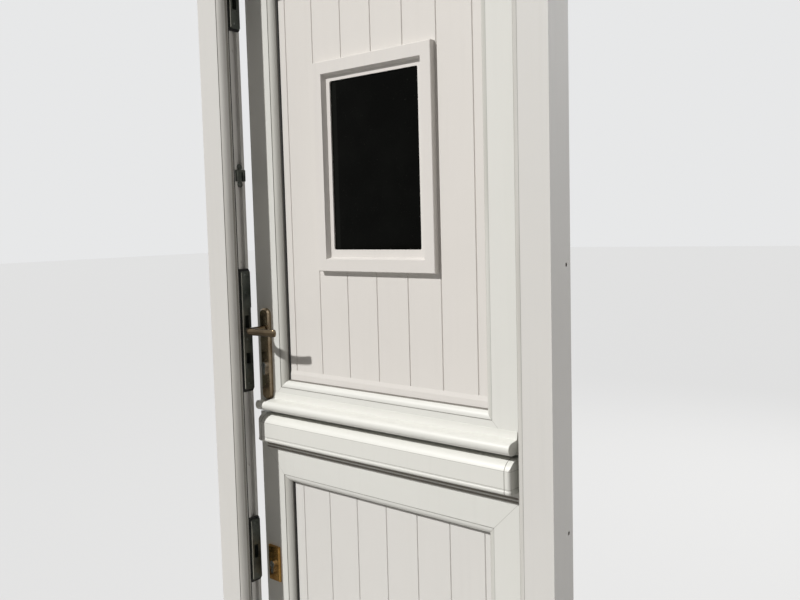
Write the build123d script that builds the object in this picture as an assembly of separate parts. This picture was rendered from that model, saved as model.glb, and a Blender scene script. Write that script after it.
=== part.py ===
from build123d import *
import math
import os

# A white stable door in its frame, hinged on the right as seen from outside and opening inwards.
# Millimetres. The origin is at the bottom centre of the frame's outside face.
# +X runs along the width to the hinge side, +Y goes into the room and +Z is up.
# Every leaf piece is drawn with the door closed, then swung ajar about the hinge pins.

# Outer frame
frame_width = 950.0
frame_height = 2100.0
frame_depth = 78.0
frame_flat = 65.0          # plain face, from the outer edge to the moulded edge
mould_width = 17.0         # moulded edge, the same on the frame and on both leaves
frame_mould_depth = 15.0
frame_lip_back = 28.0      # back of the lip that the leaves close against
lip_edge_back = 19.5       # back of the lip at its bevelled edge
lip_bevel = 7.5
rebate_height = 24.0       # from the lip's edge to the rebate wall
groove_centre = 61.0       # hardware groove, measured from the outside face
groove_width = 16.0
groove_depth = 11.0
ajar_angle = 4.22

# Leaves
lip_overlap = 12.0         # how far a leaf passes behind the frame's lip
leaf_setback = 32.0        # outside face of the leaves behind the frame's outside face
sash_depth = 70.0
sash_flat = 82.0
sash_mould_depth = 12.0
flange_width = 22.0        # inner flange that covers the gap on the room side
flange_thickness = 20.0
leaf_bottom = 32.0
meeting_top = 918.0        # top of the rail that caps the lower leaf
meeting_height = 71.0      # from the lower leaf's welded bars to the top of that rail
meeting_gap = 8.0
upper_rail_flat = 61.5     # plain face of the upper leaf's bottom rail

# Panels
panel_thickness = 28.0
panel_setback = 17.0       # outside face of a panel behind the leaf's outside face
panel_cover = 15.0         # how far a panel goes in behind the moulded edge
bead_lap = 19.0
board_pitch = 93.0
board_count = 7
board_groove_width = 3.0
board_groove_depth = 2.2
lower_board_shift = 9.0
border_height = 26.0
border_rise = 1.6
border_bevel = 10.0

# Window in the upper panel
window_width = 356.0
window_height = 480.0
window_drop = 511.0        # from the top of the upper leaf to the window's centre
window_offset = 3.0
window_face = 28.0
window_proud = 14.0
window_splay = 4.5         # how far the opening narrows from its face to its flange
window_flange_depth = 11.5 # from the surround's face to its flange
sight_inset = 45.0         # from the surround's outer edge to the glass
sill_extra = 5.0
window_wall = 3.5
window_inner_proud = 12.0
window_corner = 4.0
window_bevel = 1.2
spigot_inset = 20.0
spigot_wall = 4.0
glass_thickness = 4.0
glass_cavity = 12.0
glass_clearance = 0.5

# Rain bars and the meeting rail
bar_end_gap = 8.0          # from the end of a bar to the frame's lip
bar_reach = 33.0
bar_nose_radius = 13.0
bar_height = 44.0
bar_throat = 4.0           # thickness of the bar just above its nose
meeting_reach = 29.0
meeting_shoulder = 20.5    # height of the round that tops the meeting rail's nose
meeting_round = 30.0
end_cap_length = 14.0
end_cap_round = 7.0
bottom_bar_z = 60.0
seal_height = 6.5
seal_y = 60.0

# Gaskets
gasket_gap = 0.4
gasket_groove = 3.0
gasket_width = 6.0
lip_gasket_width = 5.0

# Threshold
threshold_height = 20.0
threshold_nose = 12.0
threshold_lip_top = 44.0

# Locks
backset = 35.0
face_plate_width = 16.0
face_plate_thickness = 2.6
channel_width = 12.0
channel_depth = 7.0
case_thickness = 15.0
case_depth = 52.0
bolt_travel = 18.0
lever_rise = 206.0         # from the foot of the upper leaf to the lever
key_drop = 92.0            # from the lever to the key
latch_rise = 18.0          # from the lever to the latch
bolt_rise = 17.0           # from the key to the dead bolt
hook_drop = 80.0           # from the top of the upper leaf to the hook's pivot
cam_rise = 362.0           # from the lever to the mushroom cam
latch_height = 28.0
latch_reach = 11.0
latch_depth = 17.0         # from the leaf's edge to the back of the latch
latch_thickness = 12.0
lower_key_drop = 322.0     # from the top of the lower leaf's bars to its key
lower_bolt_rise = 33.0
bolt_thickness = 10.0
bolt_head_height = 24.0
bolt_head_depth = 18.5
bolt_tail_depth = 35.0
lower_bolt_height = 30.0
lower_bolt_depth = 37.0
cam_slot_height = 34.0
cam_slot_width = 6.6
hook_setback = 18.0        # from the leaf's edge to the hook's pivot
hook_thickness = 8.0
hook_slot_height = 52.0
hook_slot_drop = 16.0
hook_cheek_reach = 42.0
hook_cheek_below = 44.0
hook_cheek_above = 13.0
clearance = 0.4

# Handles
plate_width = 36.0
plate_height = 230.0
plate_foot = 87.0          # from the key to the foot of the plate
plate_arch = 10.0
plate_thickness = 9.0
plate_bevel = 3.5
lever_length = 100.0
lever_reach = 58.0
oval_sides = 12
spindle_size = 8.0
escutcheon_width = 41.0
escutcheon_height = 91.0
escutcheon_thickness = 7.0
escutcheon_bevel = 2.0
key_barrel_radius = 8.5
key_leg_width = 10.0
key_height = 33.0
key_proud = 6.0
plug_radius = 6.5
plug_clearance = 0.05
cam_radius = 15.0
cam_width = 9.0

# Keeps on the lock jamb
packer_thickness = 3.0
packer_width = 36.0
packer_shift = 1.5         # the packers show more on their outside edge
packer_corner = 4.0
keep_thickness = 3.0
keep_width = 32.0
keep_margin = 6.0
keep_corner = 2.0
pocket_wall = 1.2
top_keep_below = 86.0      # from the hook's pivot to the foot of its keep
top_keep_above = 60.0
centre_keep_below = 84.0   # from the dead bolt to the foot of the keep
centre_keep_above = 133.0  # from the latch to the top of the keep
lower_keep_below = 79.0
lower_keep_above = 90.0
striker_below = 8.0
striker_above = 44.0
striker_height = 7.0

# Hinges
hinge_offset_x = 10.0      # from the leaf's flange edge to the pin
hinge_offset_y = 9.0       # from the leaf's room face to the pin
knuckle_radius = 9.0
pin_radius = 5.0
hinge_height = 100.0
hinge_plate = 5.0
hinge_corner = 4.0
hinge_insets = (98.0, 157.0, 84.0, 170.0)   # from the leaves' ends to the hinges' feet

# Fixing holes through the jambs
fixing_radius = 4.1
fixing_first = 260.0
fixing_spacing = 520.0
fixing_count = 4

# Sliding bolt that links the two leaves on the room side
link_radius = 6.0
link_travel = 34.0
link_inset = 155.0         # from the leaf's lock edge to the link bolt
link_length = 110.0
link_wall = 4.0
knob_radius = 7.0

# Derived places
half_frame = frame_width / 2
lip_x = half_frame - frame_flat - mould_width
rebate_x = lip_x + rebate_height
leaf_half = lip_x + lip_overlap
lip_top = frame_height - frame_flat - mould_width
leaf_top = lip_top + lip_overlap
room_face = leaf_setback + sash_depth
flange_y = room_face - flange_thickness
lower_sash_top = meeting_top - meeting_height
upper_leaf_bottom = meeting_top + meeting_gap
upper_ring_bottom = upper_leaf_bottom + upper_rail_flat - sash_flat
sash_reach = sash_flat + mould_width
pin_x = leaf_half + flange_width + hinge_offset_x
pin_y = room_face + hinge_offset_y
panel_face = leaf_setback + panel_setback
panel_back = panel_face + panel_thickness
lock_x = -leaf_half
key_x = lock_x + backset
keep_face_x = -rebate_x + packer_thickness + keep_thickness
pin_line = Axis((pin_x, pin_y, 0), (0, 0, 1))
window_centre_z = leaf_top - window_drop
window_flange_y = panel_face - window_proud + window_flange_depth
lever_z = upper_leaf_bottom + lever_rise
upper_key_z = lever_z - key_drop
latch_z = lever_z + latch_rise
centre_bolt_z = upper_key_z + bolt_rise
hook_z = leaf_top - hook_drop
cam_z = lever_z + cam_rise
lower_key_z = lower_sash_top - lower_key_drop
lower_bolt_z = lower_key_z + lower_bolt_rise
plate_bottom = upper_key_z - plate_foot
plate_top = plate_bottom + plate_height
link_x = -leaf_half + link_inset
far = 2 * frame_height     # longer than anything that is cut


def box(x0, x1, y0, y1, z0, z1):
    """A block between two corners."""
    return Pos((x0 + x1) / 2, (y0 + y1) / 2, (z0 + z1) / 2) * Box(x1 - x0, y1 - y0, z1 - z0)


def rod(x, z, radius, y0, y1):
    """A round bar along Y."""
    return extrude(door_plane(y0) * Pos(x, z) * Circle(radius), -(y1 - y0))


def door_plane(y):
    """A plane parallel to the door's face: local x is +X, local y is +Z, and it looks outside."""
    return Plane(origin=(0, y, 0), x_dir=(1, 0, 0), z_dir=(0, -1, 0))


def slab(outline, y0, y1):
    """An outline in X and Z made into a slab from y0 to y1."""
    return extrude(door_plane(y0) * outline, -(y1 - y0))


def outline_face(points):
    """A face inside straight lines through the points."""
    return make_face(Polyline(*points, close=True))


def moulded_edge(start, y0, depth):
    """The moulded edge of a profile: a small step, then a round that falls to the lip."""
    step = 1.0
    end = start + mould_width
    quirk = Polyline((start, y0), (start, y0 + step), (start + step, y0 + step))
    foot = (end - step, y0 + depth - step)
    round_top = RadiusArc((start + step, y0 + step), foot, -1.25 * depth)
    lip = Polyline(foot, (end, y0 + depth - step), (end, y0 + depth))
    return quirk + round_top + lip


def profile(start, y0, depth, rest):
    """A section of flat face, moulded edge and the remaining corners, as a face in t and y."""
    face_line = Line(rest[-1], (start, y0))
    back = Polyline((start + mould_width, y0 + depth), *rest)
    return make_face(face_line + moulded_edge(start, y0, depth) + back)


def frame_section():
    """Section of the outer frame. t runs from its outer edge towards the opening."""
    t_lip = frame_flat + mould_width
    t_wall = t_lip - rebate_height
    low = groove_centre - groove_width / 2
    high = groove_centre + groove_width / 2
    seat = lip_gasket_t() - gasket_groove / 2
    rest = [
        (t_lip, lip_edge_back), (t_lip - lip_bevel, frame_lip_back), (seat + gasket_groove, frame_lip_back),
        (seat + gasket_groove, frame_lip_back - gasket_groove), (seat, frame_lip_back - gasket_groove),
        (seat, frame_lip_back), (t_wall, frame_lip_back),
        (t_wall, low), (t_wall - groove_depth, low), (t_wall - groove_depth, high), (t_wall, high),
        (t_wall, frame_depth), (0, frame_depth), (0, 0),
    ]
    return profile(frame_flat, 0, frame_mould_depth, rest)


def lip_gasket_t():
    """Middle of the gasket on the back of the frame's lip."""
    return frame_flat + mould_width - lip_bevel - lip_gasket_width / 2


def sash_section():
    """Section of a leaf's bars. t runs from the leaf's outer edge towards the panel."""
    y0 = leaf_setback
    lip_y = y0 + sash_mould_depth
    floor = sash_reach - bead_lap
    seat = face_plate_width / 2 + clearance / 2
    half = channel_width / 2
    gasket_t = -flange_width / 2
    rest = [
        (sash_reach, lip_y + 1.5), (floor, lip_y + 1.5), (floor, room_face),
        (-flange_width, room_face), (-flange_width, flange_y),
        (gasket_t - gasket_groove / 2, flange_y),
        (gasket_t - gasket_groove / 2, flange_y + gasket_groove),
        (gasket_t + gasket_groove / 2, flange_y + gasket_groove),
        (gasket_t + gasket_groove / 2, flange_y), (0, flange_y),
        (0, groove_centre + seat), (face_plate_thickness, groove_centre + seat),
        (face_plate_thickness, groove_centre + half), (channel_depth, groove_centre + half),
        (channel_depth, groove_centre - half), (face_plate_thickness, groove_centre - half),
        (face_plate_thickness, groove_centre - seat), (0, groove_centre - seat), (0, y0),
    ]
    return profile(sash_flat, y0, sash_mould_depth, rest)


def ring_planes(half_width, bottom, top):
    """The four sides of an upright rectangle, as section planes with their lengths."""
    width = 2 * half_width
    height = top - bottom
    left = Plane(origin=(-half_width, 0, bottom), x_dir=(1, 0, 0), z_dir=(0, 0, 1))
    head = Plane(origin=(-half_width, 0, top), x_dir=(0, 0, -1), z_dir=(1, 0, 0))
    right = Plane(origin=(half_width, 0, top), x_dir=(-1, 0, 0), z_dir=(0, 0, -1))
    foot = Plane(origin=(half_width, 0, bottom), x_dir=(0, 0, 1), z_dir=(-1, 0, 0))
    return [(left, height), (head, width), (right, height), (foot, width)]


def mitred_bar(section, plane, length):
    """One side of a ring, with 45 degree ends."""
    spare = 2 * mould_width
    inside = 1.5 * sash_reach
    bar = extrude(plane.offset(-spare) * section, length + 2 * spare)
    corners = [(-spare, -spare), (-spare, length + spare), (inside, length - inside), (inside, inside)]
    points = [plane.origin + plane.x_dir * t + plane.z_dir * s for t, s in corners]
    wedge = extrude(make_face(Polyline(*points, close=True)), 2 * pin_y, both=True, dir=(0, 1, 0))
    return bar & wedge


def ring(section, half_width, bottom, top):
    """A mitred ring welded into one piece."""
    sides = [mitred_bar(section, plane, length) for plane, length in ring_planes(half_width, bottom, top)]
    return sides[0] + sides[1] + sides[2] + sides[3]


def above(shape, level):
    """Keep what is above a level."""
    return shape & box(-far, far, -far, far, level, far)


def below(shape, level):
    """Keep what is below a level."""
    return shape & box(-far, far, -far, far, -far, level)


def levels():
    """Heights of the fixing holes."""
    return [fixing_first + fixing_spacing * i for i in range(fixing_count)]


def frame_jamb(side):
    """A jamb: side is -1 for the lock side and 1 for the hinge side."""
    planes = ring_planes(half_frame, -frame_width, frame_height)
    plane, length = planes[0] if side < 0 else planes[2]
    jamb = above(mitred_bar(frame_section(), plane, length), 0)
    for z in levels():
        hole = Plane(origin=(side * (half_frame + 5), groove_centre, z), z_dir=(-side, 0, 0))
        jamb -= extrude(hole * Circle(fixing_radius), frame_flat)
    return jamb


def frame_head():
    """The head of the frame, mitred at both ends."""
    plane, length = ring_planes(half_frame, -frame_width, frame_height)[1]
    return mitred_bar(frame_section(), plane, length)


def threshold():
    """Low sill between the jambs, with a ramp outside and an upstand for the leaf to close against."""
    lip_front = frame_lip_back - 12
    points = [
        (-threshold_nose, 0), (-threshold_nose, 8), (lip_front, threshold_lip_top - 10),
        (lip_front + 4, threshold_lip_top),
        (frame_lip_back, threshold_lip_top), (frame_lip_back, threshold_height),
        (frame_depth, threshold_height), (frame_depth, 0), (60, 0), (60, 6), (20, 6), (20, 0),
    ]
    section = Plane.YZ.offset(-rebate_x + 0.2) * outline_face(points)
    sill = extrude(section, 2 * rebate_x - 0.4)
    for side in (-1, 1):
        x = sorted((side * (lip_x - 0.2), side * (rebate_x + 5)))
        sill -= box(x[0], x[1], -threshold_nose - 5, frame_lip_back + 0.2, -5, threshold_lip_top + 5)
    return sill


def bulb_outline(width, height, cut):
    """A rectangle with its corners cut off."""
    right = [(width / 2 - cut, -height / 2), (width / 2, cut - height / 2),
             (width / 2, height / 2 - cut), (width / 2 - cut, height / 2)]
    left = [(-a, b) for a, b in reversed(right)]
    return outline_face(right + left)


def gasket_section(t, seat_y, tip_y, width):
    """A gasket with a stem in its groove and a soft bulb towards the other piece."""
    out = 1 if tip_y > seat_y else -1
    half = gasket_groove / 2 - 0.2
    stem = Pos(t, seat_y - out * (gasket_groove - 1) / 2) * Rectangle(2 * half, gasket_groove)
    height = abs(tip_y - seat_y)
    return stem + Pos(t, seat_y + out * height / 2) * bulb_outline(width, height, 0.3 * height)


def frame_gasket():
    """Gasket on the back of the frame's lip, up both jambs and along the head."""
    section = gasket_section(lip_gasket_t(), frame_lip_back, leaf_setback - gasket_gap, lip_gasket_width)
    return above(ring(section, half_frame, -frame_width, frame_height), threshold_height + 0.5)


def leaf_gasket(bottom, top):
    """Gasket on the outer side of a leaf's inner flange."""
    section = gasket_section(-flange_width / 2, flange_y, frame_depth + gasket_gap, gasket_width)
    return ring(section, leaf_half, bottom, top)


def upper_sash_gasket():
    """The upper leaf has its flange gasket on three sides."""
    return above(leaf_gasket(upper_ring_bottom, leaf_top), upper_leaf_bottom)


def lower_sash_gasket():
    """The lower leaf has its flange gasket on its two uprights."""
    whole = leaf_gasket(leaf_bottom, meeting_top + 2 * flange_width)
    return below(above(whole, leaf_bottom), meeting_top - 1)


def lock_pocket(z0, z1, depth):
    """Space for a lock case in the lock stile."""
    half = case_thickness / 2 + clearance
    return box(lock_x - 1, lock_x + depth, groove_centre - half, groove_centre + half, z0, z1)


def key_outline(extra):
    """The outline of a key cylinder, grown by extra, round its own centre."""
    low = -(key_height - key_barrel_radius) - extra
    half = key_leg_width / 2 + extra
    cut = 0.3 * key_leg_width
    leg = [(-half, 0), (-half, low + cut), (-half + cut, low), (half - cut, low), (half, low + cut), (half, 0)]
    return Circle(key_barrel_radius + extra) + outline_face(leg)


def key_cut(z, extra, y0, y1):
    """A cut for a key cylinder at height z."""
    return slab(Pos(key_x, z) * key_outline(extra), y0, y1)


def spindle_passage(y0, y1):
    """A square hole in which the spindle can turn."""
    half = 0.71 * spindle_size + clearance
    return box(key_x - half, key_x + half, y0, y1, lever_z - half, lever_z + half)


def key_passage(z, y0, y1):
    """A plain routed slot that a key cylinder passes through."""
    half = key_barrel_radius + 1
    return box(key_x - half, key_x + half, y0, y1, z - key_height + key_barrel_radius - 1, z + half)


def upper_sash():
    """The upper leaf's welded bars, with its bottom rail cut back to the meeting line."""
    sash = above(ring(sash_section(), leaf_half, upper_ring_bottom, leaf_top), upper_leaf_bottom)
    sash -= lock_pocket(upper_case_bottom() - 1, upper_case_top() + 1, case_depth + 1.5)
    sash -= lock_pocket(hook_z - 46, hook_z + 16, 44)
    sash -= spindle_passage(leaf_setback - 1, room_face + 1)
    return sash - key_passage(upper_key_z, leaf_setback - 1, room_face + 1)


def lower_sash():
    """The lower leaf's welded bars, with the top flange taken off for the meeting rail."""
    sash = below(ring(sash_section(), leaf_half, leaf_bottom, lower_sash_top), lower_sash_top)
    sash = above(sash, leaf_bottom - flange_width + 12)
    sash -= lock_pocket(lower_case_bottom() - 1, lower_case_top() + 1, case_depth + 1.5)
    return sash - key_passage(lower_key_z, leaf_setback - 1, room_face + 1)


def panel(bottom, top, shift):
    """A boarded panel: upright V grooves and a raised plain border along the bottom."""
    x_in = leaf_half - sash_reach + panel_cover
    z0 = bottom + sash_reach - panel_cover
    z1 = top - sash_reach + panel_cover
    body = box(-x_in, x_in, panel_face, panel_back, z0, z1)
    sight = bottom + sash_reach
    border_top = sight + border_height
    first = -board_pitch * (board_count - 1) / 2 + shift
    half = board_groove_width / 2
    proud = panel_face - 0.01
    for i in range(board_count):
        x = first + board_pitch * i
        corners = [(x - half, proud), (x, panel_face + board_groove_depth), (x + half, proud)]
        body -= extrude(Plane.XY.offset(border_top) * outline_face(corners), z1 - border_top + 1)
    rise = panel_face - border_rise
    low = sight + 2
    bevel = [(panel_face, border_top), (rise, border_top - border_bevel), (rise, low), (panel_face, low)]
    x_sight = leaf_half - sash_reach - 2
    border = extrude(Plane.YZ.offset(-x_sight) * outline_face(bevel), 2 * x_sight)
    return body + border


def window_rect(inset):
    """A rectangle about the window's centre, inset from the surround's outer edge."""
    return Pos(window_offset, window_centre_z) * Rectangle(window_width - 2 * inset, window_height - 2 * inset)


def window_ring(outer, inner, y0, y1):
    """A rectangular ring between two insets from the surround's outer edge."""
    return slab(window_rect(outer) - window_rect(inner), y0, y1)


def sight_place():
    """Centre of the visible glass, which has a deeper sill below it."""
    return Pos(window_offset, window_centre_z + sill_extra / 2)


def sight_size(grow):
    """Width and height of the visible glass, grown by a margin."""
    return window_width - 2 * (sight_inset - grow), window_height - 2 * (sight_inset - grow) - sill_extra


def sight_outline():
    """The outline of the visible glass."""
    return sight_place() * RectangleRounded(*sight_size(0), window_corner)


def upper_panel():
    """The upper panel, with the cut-out for the window."""
    body = panel(upper_ring_bottom, leaf_top, 0)
    hole = window_rect(spigot_inset - clearance)
    return body - slab(hole, panel_face - 5, panel_back + 5)


def lower_panel():
    """The lower panel."""
    return panel(leaf_bottom, lower_sash_top, lower_board_shift)


def panel_gasket(bottom, top):
    """Dark gasket between the moulded edge and the panel, just showing past the lip."""
    y0 = leaf_setback + sash_mould_depth + 1.5
    show = 1.2
    start = sash_reach - panel_cover + 5
    width = sash_reach + show - start
    section = Pos(start + width / 2, (y0 + panel_face) / 2) * Rectangle(width, panel_face - y0)
    body = ring(section, leaf_half, bottom, top)
    sight = bottom + sash_reach
    low = box(-leaf_half, leaf_half, panel_face - border_rise, panel_face, sight - 30, sight + 12)
    return body - low


def beads(bottom, top):
    """Room-side glazing beads, four lengths mitred at the corners."""
    floor = sash_reach - bead_lap
    y0 = panel_back
    corners = [(floor, y0), (sash_reach, y0), (sash_reach, y0 + 6)]
    slope = Spline((sash_reach, y0 + 6), (sash_reach - 6, y0 + 14), (floor + 5, room_face))
    back = Polyline((floor + 5, room_face), (floor, room_face), (floor, y0))
    section = make_face(Polyline(*corners) + slope + back)
    planes = ring_planes(leaf_half, bottom, top)
    return [mitred_bar(section, plane, length) for plane, length in planes]


def glass_front():
    """Outside face of the sealed unit."""
    return window_flange_y + window_wall + glass_clearance


def glass_back():
    """Room face of the sealed unit."""
    return glass_front() + 2 * glass_thickness + glass_cavity


def window_outer_frame():
    """Outside half of the window surround: raised face, splayed opening and the flange over the glass."""
    front = panel_face - window_proud
    face = slab(window_rect(0), front, panel_face)
    face = chamfer(face.edges().group_by(Axis.Y)[0], window_bevel)
    face += slab(window_rect(spigot_inset), panel_face, window_flange_y + window_wall)
    narrowing = math.degrees(math.atan2(window_splay, window_flange_depth))
    opening = extrude(door_plane(front) * window_rect(window_face), -window_flange_depth, taper=narrowing)
    face -= opening
    face -= slab(sight_outline(), front, glass_front())
    middle = (panel_face + panel_back) / 2 - 1
    return face + window_ring(spigot_inset, spigot_inset + spigot_wall, window_flange_y, middle)


def window_inner_frame():
    """Room half of the window surround."""
    start = glass_back() + clearance
    back = panel_back + window_inner_proud
    face = slab(window_rect(0), panel_back, back)
    face = chamfer(face.edges().group_by(Axis.Y)[-1], window_bevel)
    face += slab(window_rect(spigot_inset), start, panel_back)
    face -= slab(window_rect(window_face), start + window_wall, back)
    face -= slab(sight_outline(), start, back)
    middle = (panel_face + panel_back) / 2 + 1
    return face + window_ring(spigot_inset, spigot_inset + spigot_wall, middle, start + 1)


def glass_panes():
    """Two panes of the sealed unit."""
    inset = spigot_inset + spigot_wall + 1
    y0 = glass_front()
    return [slab(window_rect(inset), y, y + glass_thickness) for y in (y0, y0 + glass_thickness + glass_cavity)]


def glass_spacer():
    """Spacer and edge seal between the panes."""
    y0 = glass_front() + glass_thickness
    inset = spigot_inset + spigot_wall + 1
    return slab(window_rect(inset) - sight_place() * Rectangle(*sight_size(1)), y0, y0 + glass_cavity)


def rain_bar(base_z):
    """Rain bar on a leaf's face: a hollow curve falls to a round nose with a drip groove."""
    y0 = leaf_setback
    tip = y0 - bar_reach
    r = bar_nose_radius
    top = base_z + bar_height
    throat = (y0 - bar_throat, base_z + 2 * r + 3)
    lower = Polyline((y0, top), (y0, base_z), (y0 - 6, base_z), (y0 - 6, base_z + 3), (y0 - 9, base_z + 3),
                     (y0 - 9, base_z), (tip + r, base_z))
    nose = ThreePointArc((tip + r, base_z), (tip, base_z + r), (tip + r, base_z + 2 * r))
    shoulder = Line((tip + r, base_z + 2 * r), throat)
    cove = RadiusArc(throat, (y0 - 1.5, top), -1.5 * bar_height)
    cap = Line((y0 - 1.5, top), (y0, top))
    section = make_face(lower + nose + shoulder + cove + cap)
    half = lip_x - bar_end_gap
    return extrude(Plane.YZ.offset(-half) * section, 2 * half)


def upper_weather_bar():
    """Rain bar along the foot of the upper leaf, notched round the handle plate."""
    bar = rain_bar(upper_leaf_bottom + 2)
    x = key_x
    gap = plate_width / 2 + 1
    return bar - box(x - gap - 20, x + gap, -50, leaf_setback + 1, plate_bottom - 1.5, plate_top)


def lower_weather_bar():
    """Rain bar along the foot of the lower leaf."""
    return rain_bar(bottom_bar_z)


def meeting_section():
    """Section of the meeting rail: a round-topped nose outside and a cap on the lower leaf, in Y and Z."""
    front = leaf_setback - meeting_reach
    z0 = lower_sash_top
    rise = 0.35 * meeting_reach
    flat_low = z0 + 3 + 1.1 * rise
    flat_high = meeting_top - meeting_shoulder
    foot = (front + rise, z0 + 3)
    crest = (leaf_setback - 4, meeting_top)
    under = Polyline((room_face, z0), (leaf_setback, z0), (leaf_setback, z0 + 3), foot)
    low_round = RadiusArc(foot, (front, flat_low), 1.1 * rise)
    flat = Line((front, flat_low), (front, flat_high))
    top_round = RadiusArc((front, flat_high), crest, meeting_round)
    back = Polyline(crest, (room_face, meeting_top), (room_face, z0))
    return make_face(under + low_round + flat + top_round + back)


def meeting_nose_half():
    """Half the length of the meeting rail's nose between its end caps."""
    return lip_x - bar_end_gap - end_cap_length


def drip_bar():
    """The meeting rail on top of the lower leaf."""
    body = extrude(Plane.YZ.offset(-leaf_half) * meeting_section(), 2 * leaf_half)
    wide = leaf_half + flange_width
    body += box(-wide, wide, flange_y, room_face, lower_sash_top, meeting_top)
    seat = face_plate_width / 2 + clearance / 2
    low = lower_sash_top - 5
    high = meeting_top + 5
    for side in (-1, 1):
        x = sorted((side * meeting_nose_half(), side * (wide + 5)))
        body -= box(x[0], x[1], -100, leaf_setback, low, high)
        x = sorted((side * (leaf_half - face_plate_thickness), side * (leaf_half + 5)))
        body -= box(x[0], x[1], groove_centre - seat, groove_centre + seat, low, high)
        x = side * (leaf_half + flange_width / 2)
        half = gasket_groove / 2
        body -= box(x - half, x + half, flange_y - 1, flange_y + gasket_groove, low, high)
    seal_half = seal_height / 2
    return body - box(-wide, wide, seal_y - seal_half, seal_y + seal_half, meeting_top - 3, meeting_top + 5)


def drip_bar_caps():
    """Moulded caps on the two ends of the meeting rail's nose."""
    start = meeting_nose_half()
    end = start + end_cap_length
    plan = box(start, end, leaf_setback - meeting_reach, leaf_setback, lower_sash_top, meeting_top)
    corner = plan.edges().filter_by(Axis.Z).sort_by(Axis.Y)[:2].sort_by(Axis.X)[-1]
    plan = fillet(corner, end_cap_round)
    cap = extrude(Plane.YZ.offset(start) * meeting_section(), end_cap_length) & plan
    return [cap, mirror(cap, Plane.YZ)]


def meeting_seal():
    """Soft seal in the top of the meeting rail."""
    section = Pos(seal_y, meeting_top + 1.4) * bulb_outline(seal_height - 0.2, 2 * seal_height - 4.3, 2)
    return extrude(Plane.YZ.offset(-leaf_half + 4) * section, 2 * leaf_half - 8)


def hinge_levels():
    """Heights of the hinges' feet, from the bottom up."""
    low, below_rail, above_rail, high = hinge_insets
    return [leaf_bottom + low, lower_sash_top - below_rail, upper_leaf_bottom + above_rail, leaf_top - high]


def hinge_plate_block(x0, x1, y0, z0, z1):
    """A hinge's flat plate with cut corners."""
    plate = box(x0, x1, y0, y0 + hinge_plate, z0, z1)
    return chamfer(plate.edges().filter_by(Axis.Y), hinge_corner)


def hinge_parts(level):
    """A flag hinge: the frame flag carries the pin, and the leaf flag stands on it."""
    half = hinge_height / 2
    mid = level + half
    frame_flag = Pos(pin_x, pin_y, level + half / 2) * Cylinder(knuckle_radius, half)
    frame_flag += box(pin_x - 4, pin_x + 4, frame_depth + 2, pin_y, level, mid)
    frame_flag += hinge_plate_block(pin_x - 6, half_frame - 3, frame_depth, level - 12, mid + 30)
    frame_flag += Pos(pin_x, pin_y, mid + half / 2) * Cylinder(pin_radius, half)
    gap = 0.4
    leaf_flag = Pos(pin_x, pin_y, mid + half / 2 + gap / 2) * Cylinder(knuckle_radius, half - gap)
    top = level + hinge_height
    leaf_flag += box(leaf_half - 10, pin_x, room_face, room_face + hinge_plate, mid + gap, top)
    leaf_flag += hinge_plate_block(leaf_half - 52, leaf_half + flange_width - 4, room_face, mid - 25, top)
    leaf_flag -= Pos(pin_x, pin_y, mid + half / 2) * Cylinder(pin_radius + 0.05, half + 2)
    return frame_flag, leaf_flag


def upper_case_bottom():
    """Foot of the upper lock case."""
    return upper_key_z - 38


def upper_case_top():
    """Top of the upper lock case."""
    return latch_z + latch_height / 2 + 18


def lower_case_bottom():
    """Foot of the lower lock case."""
    return lower_key_z - 38


def lower_case_top():
    """Top of the lower lock case."""
    return lower_bolt_z + lower_bolt_height / 2 + 12


def cut_slot(height, z, y_width):
    """A slot through a face plate."""
    return box(lock_x - 2, lock_x + face_plate_thickness + 1, groove_centre - y_width / 2,
               groove_centre + y_width / 2, z - height / 2, z + height / 2)


def upper_faceplate():
    """Face plate of the upper lock, with the hook's cheeks riveted behind it."""
    half = face_plate_width / 2
    plate = box(lock_x, lock_x + face_plate_thickness - 0.1, groove_centre - half, groove_centre + half,
                upper_leaf_bottom + 8, leaf_top - 14)
    plate -= cut_slot(latch_height + 1, latch_z, latch_thickness + 2 * clearance)
    plate -= cut_slot(bolt_head_height + 1, centre_bolt_z, bolt_thickness + 2 * clearance)
    plate -= cut_slot(cam_slot_height, cam_z + bolt_travel / 2, cam_slot_width)
    plate -= cut_slot(hook_slot_height, hook_z - hook_slot_drop, hook_thickness + 1)
    near = hook_thickness / 2 + 1
    low = hook_z - hook_cheek_below
    high = hook_z + hook_cheek_above
    for side in (-1, 1):
        y = sorted((groove_centre + side * near, groove_centre + side * (near + 2)))
        plate += box(lock_x + 1, lock_x + hook_cheek_reach, y[0], y[1], low, high)
    plate += rod(hook_pivot_x(), hook_z, 3, groove_centre - near - 2, groove_centre + near + 2)
    return plate


def hook_pivot_x():
    """The hook's pivot, behind the face plate."""
    return lock_x + hook_setback


def across_groove(x0, x1, half, z0, z1):
    """A block centred on the hardware groove, placed by its distances from the leaf's lock edge."""
    return box(lock_x + x0, lock_x + x1, groove_centre - half, groove_centre + half, z0, z1)


def lock_case(bottom, top, key_z):
    """A flat lock case with a space for the cylinder's cam."""
    half = case_thickness / 2
    case = across_groove(face_plate_thickness, case_depth, half, bottom, top)
    case -= key_passage(key_z, groove_centre - case_thickness, groove_centre + case_thickness)
    wide = cam_radius + 1
    return case - across_groove(backset - wide, backset + wide, cam_width / 2 + 1, key_z - wide, key_z + wide)


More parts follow.
